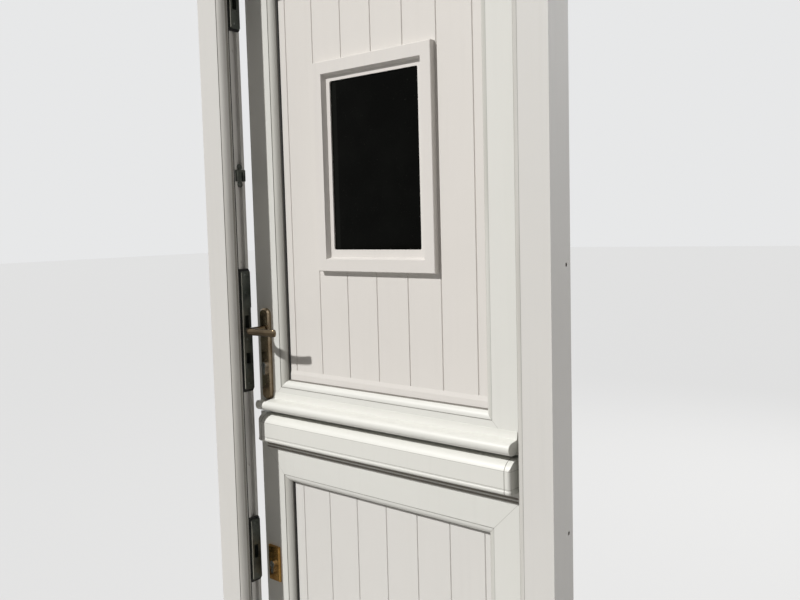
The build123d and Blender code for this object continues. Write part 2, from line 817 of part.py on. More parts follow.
def upper_lock_case():
    """Lock case of the upper leaf, with ways for the latch, the bolt, the rail and the spindle."""
    case = lock_case(upper_case_bottom(), upper_case_top(), upper_key_z)
    half = latch_thickness / 2 + clearance
    tall = latch_height / 2 + clearance
    case -= across_groove(0, latch_depth + latch_reach + 2, half, latch_z - tall, latch_z + tall)
    case -= spindle_passage(groove_centre - case_thickness, groove_centre + case_thickness)
    case -= across_groove(0, channel_depth, half, latch_z + tall - 1, upper_case_top() + 1)
    half = bolt_thickness / 2 + clearance
    tall = bolt_head_height / 2 + clearance
    case -= across_groove(0, bolt_head_depth + 0.5, half, centre_bolt_z - tall, centre_bolt_z + tall)
    return case - across_groove(0, bolt_tail_depth + 1, half, centre_bolt_z - clearance, centre_bolt_z + tall)


def latch_bolt():
    """Sprung latch, bevelled on the side that meets the keep first."""
    y0 = groove_centre - latch_thickness / 2
    y1 = groove_centre + latch_thickness / 2
    front = lock_x - latch_reach
    back = lock_x + latch_depth
    points = [(back, y0), (front + latch_reach, y0), (front, y1 - 2), (front, y1), (back, y1)]
    plan = Plane.XY.offset(latch_z - latch_height / 2) * outline_face(points)
    return fillet(extrude(plan, latch_height).edges().filter_by(Axis.Z).sort_by(Axis.X)[:2], 0.8)


def centre_bolt():
    """Dead bolt of the upper lock: a head in the face plate and a tail above the cam."""
    half = bolt_thickness / 2
    tall = bolt_head_height / 2
    head = across_groove(0.5, bolt_head_depth, half, centre_bolt_z - tall, centre_bolt_z + tall)
    return head + across_groove(bolt_head_depth, bolt_tail_depth, half, centre_bolt_z, centre_bolt_z + tall)


def drive_rail():
    """Rail that the lever lifts, with its mushroom cam showing through the face plate."""
    x0 = lock_x + face_plate_thickness + 0.2
    x1 = lock_x + channel_depth - 0.6
    y0 = groove_centre - channel_width / 2 + 0.5
    y1 = groove_centre + channel_width / 2 - 0.5
    rail = box(x0, x1, y0, y1, latch_z + latch_height / 2 + 2, hook_z - 50 - bolt_travel)
    cam = Plane(origin=(x0, groove_centre, cam_z), z_dir=(-1, 0, 0))
    rail += extrude(cam * Rectangle(5, 5), 6.5)
    rail += extrude(cam.offset(4.4) * Circle(5), 4.2)
    return rail


def top_hook():
    """Claw of the upper lock, hanging down in its case until the rail throws it."""
    arm = [(-6, 8), (6, 8), (6, -38), (-14, -38), (-14, -28), (-6, -28)]
    outline = Pos(hook_pivot_x(), hook_z) * outline_face(arm)
    hook = slab(outline, groove_centre - hook_thickness / 2, groove_centre + hook_thickness / 2)
    corners = hook.edges().filter_by(Axis.Y)
    hook = chamfer(corners.sort_by(Axis.Z)[-2:], 4)
    hook = chamfer(hook.edges().filter_by(Axis.Y).sort_by(Axis.Z)[:2], 2.5)
    return hook - rod(hook_pivot_x(), hook_z, 3.05, groove_centre - 10, groove_centre + 10)


def key_body(z, plate):
    """Key cylinder body, from outside to room side, with its screw hole in line with the face plate."""
    y0 = leaf_setback - plate - key_proud
    y1 = room_face + plate + key_proud
    body = slab(Pos(key_x, z) * key_outline(0), y0, y1)
    body -= rod(key_x, z, plug_radius, y0 - 1, y1 + 1)
    return body - across_groove(backset - 12, backset + 12, cam_width / 2 + 0.5, z - cam_radius - 1, z + 12)


def key_plug(z, plate):
    """The turning plug of a key cylinder: keyways at both ends and the cam in the middle."""
    y0 = leaf_setback - plate - key_proud + 0.2
    y1 = room_face + plate + key_proud - 0.2
    plug = rod(key_x, z, plug_radius - plug_clearance, y0, y1)
    plug += across_groove(backset - 3.5, backset + 3.5, cam_width / 2, z + 0.5, z + cam_radius - 0.5)
    for y in (y0 - 1, y1 - 24):
        plug -= box(key_x - 0.8, key_x + 0.8, y, y + 25, z - 3.5, z + 4.5)
    return plug


def plate_outline():
    """Outline of a handle plate, with an arch of flats at both ends."""
    half = plate_width / 2
    tall = plate_height / 2
    arch = [(half, tall - plate_arch), (0.76 * half, tall - 0.4 * plate_arch), (0.3 * half, tall)]
    top = arch + [(-a, b) for a, b in reversed(arch)]
    foot = [(a, -b) for a, b in reversed(top)]
    return Pos(key_x, plate_bottom + tall) * outline_face(top + foot)


def handle_plate(room_side):
    """Long back plate of a handle, holed for the spindle and the key cylinder."""
    y0 = leaf_setback - plate_thickness
    plate = slab(plate_outline(), y0, leaf_setback)
    plate = chamfer(plate.faces().sort_by(Axis.Y)[0].edges(), plate_bevel)
    plate -= spindle_passage(y0 - 1, leaf_setback + 1)
    plate -= key_cut(upper_key_z, 0.3, y0 - 1, leaf_setback + 1)
    return across(plate) if room_side else plate


def across(shape):
    """Mirror an outside piece to the room side."""
    middle = leaf_setback + sash_depth / 2
    return mirror(shape, Plane.XZ.offset(-middle))


def oval(tall, thick):
    """An oval section with flat facets."""
    step = 2 * math.pi / oval_sides
    return outline_face([(tall * math.cos(i * step), thick * math.sin(i * step)) for i in range(oval_sides)])


def lever(room_side):
    """Lever handle: a tapered neck, a round bend and a flattened grip."""
    root = leaf_setback - plate_thickness - 0.3
    reach = leaf_setback - lever_reach
    bend = key_x + 0.16 * lever_length
    path = Polyline((key_x, root), (key_x, reach + 14)) + ThreePointArc(
        (key_x, reach + 14), (key_x + 4.6, reach + 3.6), (bend, reach))
    tip = (key_x + lever_length, reach + 4)
    path += Spline((bend, reach), (key_x + 0.6 * lever_length, reach - 1), tip, tangents=[(1, 0), (1, 0.2)])
    sizes = [(0.0, 9.5, 9.5), (0.22, 6.6, 7.2), (0.29, 6.4, 8.2), (0.36, 6, 9), (0.65, 4.8, 9.6),
             (0.96, 4.4, 8.8), (1.0, 2.4, 6)]
    sections = []
    for at, thick, tall in sizes:
        point = path.position_at(at)
        ahead = path.tangent_at(at)
        plane = Plane(origin=(point.X, point.Y, lever_z), x_dir=(0, 0, 1), z_dir=(ahead.X, ahead.Y, 0))
        sections.append(plane * oval(tall, thick))
    grip = loft(sections, ruled=True)
    socket = spindle_size / 2 + 0.05
    grip -= box(key_x - socket, key_x + socket, root - 16, root + 1, lever_z - socket, lever_z + socket)
    return across(grip) if room_side else grip


def spindle():
    """Square spindle that joins the two levers through the lock."""
    half = spindle_size / 2
    root = leaf_setback - plate_thickness - 0.3
    y0 = root - 15.5
    y1 = 2 * leaf_setback + sash_depth - y0
    return box(key_x - half, key_x + half, y0, y1, lever_z - half, lever_z + half)


def lower_escutcheons():
    """Key plates of the lower lock, outside and room side."""
    outline = Pos(key_x, lower_key_z) * Rectangle(escutcheon_width, escutcheon_height)
    y0 = leaf_setback - escutcheon_thickness
    plate = slab(outline, y0, leaf_setback)
    plate = chamfer(plate.faces().sort_by(Axis.Y)[0].edges(), escutcheon_bevel)
    plate -= key_cut(lower_key_z, 0.3, y0 - 1, leaf_setback + 1)
    return [plate, across(plate)]


def lower_faceplate():
    """Face plate of the lower lock."""
    half = face_plate_width / 2
    plate = box(lock_x, lock_x + face_plate_thickness - 0.1, groove_centre - half, groove_centre + half,
                lower_case_bottom() - 30, lower_case_top() + 30)
    return plate - cut_slot(lower_bolt_height + 1, lower_bolt_z, bolt_thickness + 0.8)


def lower_lock_case():
    """Lock case of the lower leaf, with the way for its bolt."""
    case = lock_case(lower_case_bottom(), lower_case_top(), lower_key_z)
    half = bolt_thickness / 2 + clearance
    tall = lower_bolt_height / 2 + clearance
    return case - across_groove(0, lower_bolt_depth + 1, half, lower_bolt_z - tall, lower_bolt_z + tall)


def lower_bolt():
    """Dead bolt of the lower lock."""
    tall = lower_bolt_height / 2
    return across_groove(0.5, lower_bolt_depth, bolt_thickness / 2, lower_bolt_z - tall, lower_bolt_z + tall)


def packer(bottom, top, pockets):
    """Dark plastic packer under a keep, open behind its pockets."""
    half = packer_width / 2
    middle = groove_centre - packer_shift
    body = box(-rebate_x, -rebate_x + packer_thickness, middle - half, middle + half, bottom, top)
    body = chamfer(body.edges().filter_by(Axis.X), packer_corner)
    for low, high in pockets:
        body -= pocket_block(low, high, clearance, packer_thickness + 1)
    return body


def pocket_block(low, high, grow, reach):
    """A block behind the keep's face, round one pocket."""
    half = groove_width / 2 - 0.3 + grow
    return box(-rebate_x - groove_depth + 0.5, -rebate_x + reach, groove_centre - half, groove_centre + half,
               low - pocket_wall - grow, high + pocket_wall + grow)


def keep(bottom, top, pockets):
    """Metal keep with a boxed pocket for each bolt."""
    half = keep_width / 2
    x0 = -rebate_x + packer_thickness
    body = box(x0, x0 + keep_thickness, groove_centre - half, groove_centre + half,
               bottom + keep_margin, top - keep_margin)
    body = chamfer(body.edges().filter_by(Axis.X), keep_corner)
    for low, high in pockets:
        body += pocket_block(low, high, 0, packer_thickness)
    for low, high in pockets:
        width = groove_width / 2 - 0.3 - pocket_wall
        body -= box(-rebate_x - groove_depth + 0.5 + pocket_wall, x0 + keep_thickness + 1,
                    groove_centre - width, groove_centre + width, low, high)
    return body


def keep_pockets():
    """Pocket heights for the three keeps."""
    half_latch = latch_height / 2 + 2
    top = [(hook_z - 34, hook_z + 7)]
    centre = [(centre_bolt_z - 14, centre_bolt_z + 14), (latch_z - half_latch, latch_z + half_latch)]
    lower = [(lower_bolt_z - lower_bolt_height / 2 - 2, lower_bolt_z + lower_bolt_height / 2 + 2)]
    return top, centre, lower


def keep_ranges():
    """Lowest and highest points of the three keeps' packers."""
    top = (hook_z - top_keep_below, hook_z + top_keep_above)
    centre = (centre_bolt_z - centre_keep_below, latch_z + centre_keep_above)
    lower = (lower_bolt_z - lower_keep_below, lower_bolt_z + lower_keep_above)
    return top, centre, lower


def keep_packers():
    """The three packers."""
    top, centre, lower = keep_pockets()
    top = [(top[0][0], hook_pocket_top())]
    return [packer(low, high, pockets) for (low, high), pockets in zip(keep_ranges(), (top, centre, lower))]


def hook_pocket_top():
    """Top of the space behind the top keep where the claw catches."""
    return hook_z + 18


def keep_top():
    """Keep for the hook; its pocket runs up behind the face so that the claw can catch."""
    body = keep(*keep_ranges()[0], keep_pockets()[0])
    high = hook_pocket_top()
    x_back = -rebate_x - groove_depth + 0.5
    width = groove_width / 2 - 0.3
    body += box(x_back, -rebate_x + packer_thickness, groove_centre - width, groove_centre + width,
                hook_z, high + pocket_wall)
    inner = width - pocket_wall
    return body - box(x_back + pocket_wall, -rebate_x + packer_thickness, groove_centre - inner,
                      groove_centre + inner, hook_z - 30, high)


def keep_centre():
    """Keep for the latch and the dead bolt, with a bevel that leads the latch in."""
    body = keep(*keep_ranges()[1], keep_pockets()[1])
    y_edge = groove_centre + keep_width / 2
    x_face = keep_face_x
    lead = [(x_face + 1, y_edge - 9), (x_face + 1, y_edge + 1), (x_face - 2, y_edge + 1),
            (x_face - 2, y_edge - 0.5)]
    ramp = Plane.XY.offset(latch_z - 35) * outline_face(lead)
    return body - extrude(ramp, 70)


def keep_lower():
    """Keep for the lower leaf's dead bolt."""
    return keep(*keep_ranges()[2], keep_pockets()[2])


def striker_plate():
    """Small keep for the rail's mushroom cam: a base with a raised jaw above the cam's way in."""
    low = cam_z - striker_below
    high = cam_z + striker_above
    half = keep_width / 2
    base = box(-rebate_x, -rebate_x + 2, groove_centre - half, groove_centre + half, low, high)
    jaw_low = cam_z + bolt_travel / 2 + 1
    jaw = box(-rebate_x, -rebate_x + striker_height, groove_centre - half, groove_centre + half, jaw_low, high)
    jaw = chamfer(jaw.edges().filter_by(Axis.Y).sort_by(Axis.X)[-2:], 1.5)
    way = box(-rebate_x + 2, -rebate_x + striker_height + 1, groove_centre - 6.2, groove_centre + 6.2,
              jaw_low - 1, high - 6)
    return base + jaw - way


def link_bolt():
    """Round bolt with a knob, drawn up clear of the lower leaf."""
    y = room_face + link_radius + link_wall
    low = upper_leaf_bottom + 10
    bolt = Pos(link_x, y, low + link_length / 2) * Cylinder(link_radius, link_length)
    knob_z = low + link_length * 0.62
    knob = Plane(origin=(link_x, y, knob_z), z_dir=(0, 1, 0))
    bolt += extrude(knob * Rectangle(8, 8), 17)
    bolt += extrude(knob.offset(16) * Circle(knob_radius), 12)
    return bolt


def link_guide(low, high, play):
    """A block round the link bolt, fixed to a leaf's room face."""
    y = room_face + link_radius + link_wall
    half = link_radius + link_wall + 8
    body = box(link_x - half, link_x + half, room_face, room_face + link_wall, low, high)
    wide = link_radius + link_wall
    hump = box(link_x - wide, link_x + wide, room_face, y + wide, low, high)
    body += chamfer(hump.edges().filter_by(Axis.Z).sort_by(Axis.Y)[-2:], link_wall)
    return body - Pos(link_x, y, (low + high) / 2) * Cylinder(link_radius + play, high - low + 2)


def link_bolt_housing():
    """Housing of the link bolt on the upper leaf, slotted for its knob."""
    low = upper_leaf_bottom + 12
    high = low + link_length - 4
    body = link_guide(low, high, 0.3)
    knob_z = upper_leaf_bottom + 10 + link_length * 0.62
    y = room_face + link_radius + link_wall
    return body - box(link_x - 4.6, link_x + 4.6, y, y + 30, knob_z - link_travel - 5, knob_z + 5)


def link_bolt_keeper():
    """Keeper of the link bolt on the meeting rail."""
    return link_guide(meeting_top - 32, meeting_top - 2, 1.4)


def hinge_nodes():
    """Frame flags and leaf flags of the four hinges, from the bottom up."""
    nodes = {}
    for number, level in enumerate(hinge_levels(), start=1):
        frame_flag, leaf_flag = hinge_parts(level)
        nodes[f"hinge_frame_flag_{number}"] = frame_flag
        nodes[f"hinge_leaf_flag_{number}"] = leaf_flag
    return nodes


def fixed_parts(hinges):
    """Everything that stays with the frame."""
    parts = {
        "jamb_lock_side": frame_jamb(-1),
        "jamb_hinge_side": frame_jamb(1),
        "frame_head": frame_head(),
        "threshold": threshold(),
        "frame_gasket": frame_gasket(),
        "keep_packers": keep_packers(),
        "keep_top": keep_top(),
        "keep_centre": keep_centre(),
        "keep_lower": keep_lower(),
        "striker_plate": striker_plate(),
    }
    parts.update({name: shape for name, shape in hinges.items() if "frame" in name})
    return parts


def leaf_parts(hinges):
    """Everything that swings, drawn closed."""
    parts = {
        "upper_sash": upper_sash(),
        "upper_panel": upper_panel(),
        "upper_panel_gasket": panel_gasket(upper_ring_bottom, leaf_top),
        "upper_beads": beads(upper_ring_bottom, leaf_top),
        "upper_sash_gasket": upper_sash_gasket(),
        "upper_weather_bar": upper_weather_bar(),
        "window_outer_frame": window_outer_frame(),
        "window_inner_frame": window_inner_frame(),
        "glass_panes": glass_panes(),
        "glass_spacer": glass_spacer(),
        "upper_faceplate": upper_faceplate(),
        "upper_lock_case": upper_lock_case(),
        "outer_handle_plate": handle_plate(False),
        "inner_handle_plate": handle_plate(True),
        "upper_cylinder": key_body(upper_key_z, plate_thickness),
        "link_bolt_housing": link_bolt_housing(),
        "lower_sash": lower_sash(),
        "lower_panel": lower_panel(),
        "lower_panel_gasket": panel_gasket(leaf_bottom, lower_sash_top),
        "lower_beads": beads(leaf_bottom, lower_sash_top),
        "lower_sash_gasket": lower_sash_gasket(),
        "drip_bar": drip_bar(),
        "drip_bar_caps": drip_bar_caps(),
        "meeting_seal": meeting_seal(),
        "lower_weather_bar": lower_weather_bar(),
        "lower_faceplate": lower_faceplate(),
        "lower_lock_case": lower_lock_case(),
        "lower_escutcheons": lower_escutcheons(),
        "lower_cylinder": key_body(lower_key_z, escutcheon_thickness),
        "link_bolt_keeper": link_bolt_keeper(),
        "outer_lever": lever(False),
        "inner_lever": lever(True),
        "spindle": spindle(),
        "latch_bolt": latch_bolt(),
        "drive_rail": drive_rail(),
        "top_hook": top_hook(),
        "centre_bolt": centre_bolt(),
        "upper_cylinder_plug": key_plug(upper_key_z, plate_thickness),
        "lower_bolt": lower_bolt(),
        "lower_cylinder_plug": key_plug(lower_key_z, escutcheon_thickness),
        "link_bolt": link_bolt(),
    }
    parts.update({name: shape for name, shape in hinges.items() if "leaf" in name})
    return parts


def solids_of(shape):
    """The solids in a shape or in a list of shapes."""
    items = shape if isinstance(shape, list) else [shape]
    return [solid for item in items for solid in item.solids()]


def main():
    """Build every piece and write one STEP file each."""
    os.makedirs("parts", exist_ok=True)
    hinges = hinge_nodes()
    pieces = {name: solids_of(shape) for name, shape in fixed_parts(hinges).items()}
    for name, shape in leaf_parts(hinges).items():
        pieces[name] = [solid.rotate(pin_line, -ajar_angle) for solid in solids_of(shape)]
    for name, solids in pieces.items():
        body = solids[0] if len(solids) == 1 else Compound(children=solids)
        export_step(body, f"parts/{name}.step")
        print(name, len(solids), round(sum(s.volume for s in solids) / 1000, 1), "cm3")


if __name__ == "__main__":
    main()
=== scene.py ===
import math
import bpy
import bmesh
from mathutils import Matrix, Vector


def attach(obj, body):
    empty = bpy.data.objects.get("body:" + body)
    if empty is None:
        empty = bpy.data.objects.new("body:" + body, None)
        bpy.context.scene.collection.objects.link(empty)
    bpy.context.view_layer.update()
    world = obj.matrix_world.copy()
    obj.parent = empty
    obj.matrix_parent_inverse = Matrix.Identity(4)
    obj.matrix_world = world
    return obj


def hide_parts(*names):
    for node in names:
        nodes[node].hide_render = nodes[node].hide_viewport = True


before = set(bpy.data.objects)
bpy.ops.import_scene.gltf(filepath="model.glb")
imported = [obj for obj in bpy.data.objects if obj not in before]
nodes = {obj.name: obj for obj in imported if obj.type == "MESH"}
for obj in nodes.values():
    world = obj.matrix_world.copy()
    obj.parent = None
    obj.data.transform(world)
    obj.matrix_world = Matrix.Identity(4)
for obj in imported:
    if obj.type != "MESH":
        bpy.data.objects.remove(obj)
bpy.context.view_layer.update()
print("frame loaded:", len(nodes), "nodes")

mm = 0.001
hinge = {"x": 437, "y": 111, "angle": math.radians(4.22)}
# turns a closed leaf to where it stands ajar at rest
leafTurn = Matrix.Translation((hinge["x"] * mm, hinge["y"] * mm, 0)) \
    @ Matrix.Rotation(-hinge["angle"], 4, "Z") \
    @ Matrix.Translation((-hinge["x"] * mm, -hinge["y"] * mm, 0))


def clearSelection():
    if bpy.context.object and bpy.context.object.mode != "OBJECT":
        bpy.ops.object.mode_set(mode="OBJECT")
    bpy.ops.object.select_all(action="DESELECT")


def useOnly(piece):
    clearSelection()
    piece.select_set(True)
    bpy.context.view_layer.objects.active = piece


def takeNew(name):
    piece = bpy.context.object
    piece.name = name
    piece.data.name = name
    return piece


def openMesh(name):
    # puts a new primitive's place into its mesh and opens it with all of it selected
    piece = takeNew(name)
    bpy.ops.object.transform_apply(location=True, rotation=True, scale=True)
    bpy.ops.object.mode_set(mode="EDIT")
    bpy.ops.mesh.select_all(action="SELECT")
    return piece


def addDisc(name, sides, radius, place, turn=(0, 0, 0)):
    # sizes and places are in millimetres here and in the next two
    clearSelection()
    bpy.ops.mesh.primitive_circle_add(vertices=sides, radius=radius * mm, fill_type="NGON",
                                      location=[v * mm for v in place], rotation=turn)
    return openMesh(name)


def addUpright(name, tall, wide, place):
    # a rectangle that faces +x
    clearSelection()
    bpy.ops.mesh.primitive_plane_add(size=1, location=[v * mm for v in place], rotation=(0, math.pi / 2, 0))
    bpy.context.object.scale = (tall * mm, wide * mm, 1)
    return openMesh(name)


def drawOut(x, y, z):
    # extrudes what is selected by this step
    bpy.ops.mesh.extrude_region_move(TRANSFORM_OT_translate={"value": (x * mm, y * mm, z * mm)})


def pick(piece, kind, test):
    # in edit mode, selects the faces, edges or vertices whose middle passes the test
    mesh = bmesh.from_edit_mesh(piece.data)
    bpy.ops.mesh.select_all(action="DESELECT")
    bpy.context.tool_settings.mesh_select_mode = (kind == "VERT", kind == "EDGE", kind == "FACE")
    for part in {"FACE": mesh.faces, "EDGE": mesh.edges, "VERT": mesh.verts}[kind]:
        if kind == "VERT":
            middle, facing = part.co, part.normal
        elif kind == "EDGE":
            middle, facing = (part.verts[0].co + part.verts[1].co) / 2, part.verts[1].co - part.verts[0].co
        else:
            middle, facing = part.calc_center_median(), part.normal
        if test(middle, facing):
            part.select_set(True)
    bmesh.update_edit_mesh(piece.data)


def copyPiece(piece, name):
    useOnly(piece)
    bpy.ops.object.duplicate()
    return takeNew(name)


def joinAll(pieces, name):
    clearSelection()
    for piece in pieces:
        piece.select_set(True)
    bpy.context.view_layer.objects.active = pieces[0]
    if len(pieces) > 1:
        bpy.ops.object.join()
    return takeNew(name)


def placePiece(piece, place):
    # the place goes into the mesh, and the object stays at the origin
    piece.matrix_world = place
    useOnly(piece)
    bpy.ops.object.transform_apply(location=True, rotation=True, scale=True)


def finishPiece(piece, body, material, angle=35):
    useOnly(piece)
    bpy.ops.object.mode_set(mode="EDIT")
    bpy.ops.mesh.select_all(action="SELECT")
    bpy.ops.mesh.remove_doubles(threshold=0.00001)
    bpy.ops.mesh.normals_make_consistent(inside=False)
    bpy.ops.object.mode_set(mode="OBJECT")
    bpy.ops.object.shade_smooth_by_angle(angle=math.radians(angle))
    piece.data.materials.clear()
    piece.data.materials.append(material)
    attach(piece, body)


def newGroup(name, inputs, outputs):
    group = bpy.data.node_groups.new(name, "ShaderNodeTree")
    for label, kind, value in inputs:
        socket = group.interface.new_socket(name=label, in_out="INPUT", socket_type=kind)
        socket.default_value = value
    for label, kind in outputs:
        group.interface.new_socket(name=label, in_out="OUTPUT", socket_type=kind)
    first = group.nodes.new("NodeGroupInput")
    last = group.nodes.new("NodeGroupOutput")
    return group, first, last


def addMath(tree, operation, a, b=None, c=None):
    node = tree.nodes.new("ShaderNodeMath")
    node.operation = operation
    for i, value in enumerate((a, b, c)):
        if value is None:
            continue
        if isinstance(value, (int, float)):
            node.inputs[i].default_value = value
        else:
            tree.links.new(value, node.inputs[i])
    return node.outputs["Value"]


def addNoise(tree, place, scale, detail=3.0, stretch=None):
    # a noise on object coordinates, stretched along an axis where that is given
    if stretch:
        spread = tree.nodes.new("ShaderNodeMapping")
        spread.inputs["Scale"].default_value = stretch
        tree.links.new(place, spread.inputs["Vector"])
        place = spread.outputs["Vector"]
    noise = tree.nodes.new("ShaderNodeTexNoise")
    noise.inputs["Scale"].default_value = scale
    noise.inputs["Detail"].default_value = detail
    tree.links.new(place, noise.inputs["Vector"])
    return noise.outputs["Fac"]


def addRange(tree, value, low, high, toLow, toHigh):
    node = tree.nodes.new("ShaderNodeMapRange")
    tree.links.new(value, node.inputs["Value"])
    for label, amount in (("From Min", low), ("From Max", high), ("To Min", toLow), ("To Max", toHigh)):
        if isinstance(amount, (int, float)):
            node.inputs[label].default_value = amount
        else:
            tree.links.new(amount, node.inputs[label])
    return node.outputs["Result"]


def addBlend(tree, factor, a, b):
    node = tree.nodes.new("ShaderNodeMix")
    node.data_type = "RGBA"
    tree.links.new(factor, node.inputs["Factor"])
    for label, colour in (("A", a), ("B", b)):
        if isinstance(colour, tuple):
            node.inputs[label].default_value = (*colour, 1)
        else:
            tree.links.new(colour, node.inputs[label])
    return node.outputs["Result"]


# scales of the noises, heights in metres, the tone of grime and of the film's painted shade, and what the
# seams and the painted quirk shade look like
moulded = {"broad": 3.0, "streaks": (60.0, 60.0, 2.5), "grain": 900.0, "grainHigh": 0.0004,
           "roughDrift": 0.12, "grimeAndShade": (0.30, 0.29, 0.25),
           "seamAndShadeTone": (0.16, 0.15, 0.13), "seamAndShadeShare": 0.8, "seamDeep": 0.0006, "seamStrength": 0.6}


def buildMouldedSkin():
    # extruded plastic: slow drift of tone, rain streaks down the face and a fine skin
    group, first, last = newGroup(
        "mouldedSkin",
        [("Colour", "NodeSocketColor", (0.8, 0.8, 0.8, 1)),
         ("GrimeAndShade", "NodeSocketColor", (0.4, 0.38, 0.34, 1)),
         ("Drift", "NodeSocketFloat", 0.03), ("Dirt", "NodeSocketFloat", 0.1),
         ("Rough", "NodeSocketFloat", 0.35), ("Texture", "NodeSocketFloat", 0.02),
         ("Seam", "NodeSocketFloat", 0.0), ("FilmAndShade", "NodeSocketFloat", 0.0)],
        [("Colour", "NodeSocketColor"), ("Rough", "NodeSocketFloat"), ("Normal", "NodeSocketVector")])
    link = group.links.new
    place = group.nodes.new("ShaderNodeTexCoord").outputs["Object"]
    broad = addNoise(group, place, moulded["broad"])
    streaks = addNoise(group, place, 1.0, 4.0, moulded["streaks"])
    fine = addNoise(group, place, moulded["grain"], 2.0)
    darkest = addMath(group, "SUBTRACT", 1.0, first.outputs["Drift"])
    shift = addRange(group, broad, 0.3, 0.7, 1.0, darkest)
    tone = group.nodes.new("ShaderNodeVectorMath")
    tone.operation = "SCALE"
    link(first.outputs["Colour"], tone.inputs[0])
    link(shift, tone.inputs["Scale"])
    dirt = addRange(group, streaks, 0.52, 0.8, 0.0, first.outputs["Dirt"])
    washed = addBlend(group, dirt, tone.outputs["Vector"], first.outputs["GrimeAndShade"])
    # the film darkens the mouldings unevenly, as painted shade with some dirt film; the seam mask darkens
    # most: the weld lines, and the quirks as painted shade
    film = addMath(group, "MULTIPLY", first.outputs["FilmAndShade"], addRange(group, streaks, 0.3, 0.7, 0.22, 0.5))
    dulled = addBlend(group, film, washed, first.outputs["GrimeAndShade"])
    seamAndShade = addMath(group, "MULTIPLY", first.outputs["Seam"], moulded["seamAndShadeShare"])
    link(addBlend(group, seamAndShade, dulled, moulded["seamAndShadeTone"]), last.inputs["Colour"])
    rough = addMath(group, "MULTIPLY_ADD", broad, moulded["roughDrift"], first.outputs["Rough"])
    link(rough, last.inputs["Rough"])
    skin = group.nodes.new("ShaderNodeBump")
    skin.inputs["Distance"].default_value = moulded["grainHigh"]
    link(fine, skin.inputs["Height"])
    link(first.outputs["Texture"], skin.inputs["Strength"])
    groove = group.nodes.new("ShaderNodeBump")
    groove.invert = True
    groove.inputs["Distance"].default_value = moulded["seamDeep"]
    groove.inputs["Strength"].default_value = moulded["seamStrength"]
    link(first.outputs["Seam"], groove.inputs["Height"])
    link(skin.outputs["Normal"], groove.inputs["Normal"])
    link(groove.outputs["Normal"], last.inputs["Normal"])
    return group


def buildBarLines():
    # on a welded ring of bars: the line of each mitre weld, painted shade in the quirks beside the moulding,
    # and painted shade with some dirt film on the moulding itself; Low and High are the heights of the ring's
    # outer corners
    group, first, last = newGroup(
        "barLines",
        [("Place", "NodeSocketVector", (0, 0, 0)), ("Half Width", "NodeSocketFloat", 0.405),
         ("Low", "NodeSocketFloat", 0.0), ("High", "NodeSocketFloat", 2.0),
         ("Flat", "NodeSocketFloat", 0.082), ("Mould", "NodeSocketFloat", 0.017),
         ("Line", "NodeSocketFloat", 0.0005)],
        [("Seam", "NodeSocketFloat"), ("FilmAndShade", "NodeSocketFloat")])
    apart = group.nodes.new("ShaderNodeSeparateXYZ")
    group.links.new(first.outputs["Place"], apart.inputs["Vector"])
    fromSide = addMath(group, "SUBTRACT", first.outputs["Half Width"],
                       addMath(group, "ABSOLUTE", apart.outputs["X"]))
    fromFoot = addMath(group, "SUBTRACT", apart.outputs["Z"], first.outputs["Low"])
    fromTop = addMath(group, "SUBTRACT", first.outputs["High"], apart.outputs["Z"])
    fromEnd = addMath(group, "MINIMUM", fromFoot, fromTop)
    ringDepth = addMath(group, "MINIMUM", fromSide, fromEnd)
    inner = addMath(group, "ADD", first.outputs["Flat"], first.outputs["Mould"])
    weld = addMath(group, "MULTIPLY",
                   addMath(group, "COMPARE", fromSide, fromEnd, first.outputs["Line"]),
                   addMath(group, "LESS_THAN", fromSide, inner))
    wider = addMath(group, "MULTIPLY", first.outputs["Line"], 1.3)
    # painted shade: a dark line along each quirk, at both edges of the moulding
    quirkShade = addMath(group, "MAXIMUM", addMath(group, "COMPARE", ringDepth, first.outputs["Flat"], wider),
                     addMath(group, "COMPARE", ringDepth, inner, wider))
    weak = addMath(group, "MULTIPLY", weld, 0.6)
    group.links.new(addMath(group, "MAXIMUM", weak, quirkShade), last.inputs["Seam"])
    # the film is painted shade, with some dirt film, on the mouldings of the upright bars only; the level
    # bars get none
    film = addMath(group, "MULTIPLY", addMath(group, "GREATER_THAN", fromSide, first.outputs["Flat"]),
                   addMath(group, "LESS_THAN", fromSide, inner))
    group.links.new(addMath(group, "MULTIPLY", film, addMath(group, "LESS_THAN", fromSide, fromEnd)),
                    last.inputs["FilmAndShade"])
    return group


def buildRailLines():
    # on the meeting rail: two lines of painted shade drawn along the creases of its face, and the dark joints
    # of its end caps
    group, first, last = newGroup(
        "railLines",
        [("Place", "NodeSocketVector", (0, 0, 0)), ("Upper", "NodeSocketFloat", 0.8975),
         ("Lower", "NodeSocketFloat", 0.8615), ("Joint", "NodeSocketFloat", 0.371),
         ("Line", "NodeSocketFloat", 0.0005)],
        [("Seam", "NodeSocketFloat")])
    apart = group.nodes.new("ShaderNodeSeparateXYZ")
    group.links.new(first.outputs["Place"], apart.inputs["Vector"])
    upper = addMath(group, "COMPARE", apart.outputs["Z"], first.outputs["Upper"], first.outputs["Line"])
    lower = addMath(group, "COMPARE", apart.outputs["Z"], first.outputs["Lower"], first.outputs["Line"])
    wider = addMath(group, "MULTIPLY", first.outputs["Line"], 1.8)
    joint = addMath(group, "COMPARE", addMath(group, "ABSOLUTE", apart.outputs["X"]), first.outputs["Joint"],
                    wider)
    # the two face lines are painted shade in the creases; the joint lines are the caps' dark joints
    along = addMath(group, "MULTIPLY", addMath(group, "MAXIMUM", upper, lower), 0.6)
    group.links.new(addMath(group, "MAXIMUM", along, joint), last.inputs["Seam"])
    return group


# scales of the slow change and of the spots, the rub marks' height in metres, the spots' dullness
rubbed = {"slow": 28.0, "spots": 160.0, "high": 0.0003, "spotRough": 0.2}


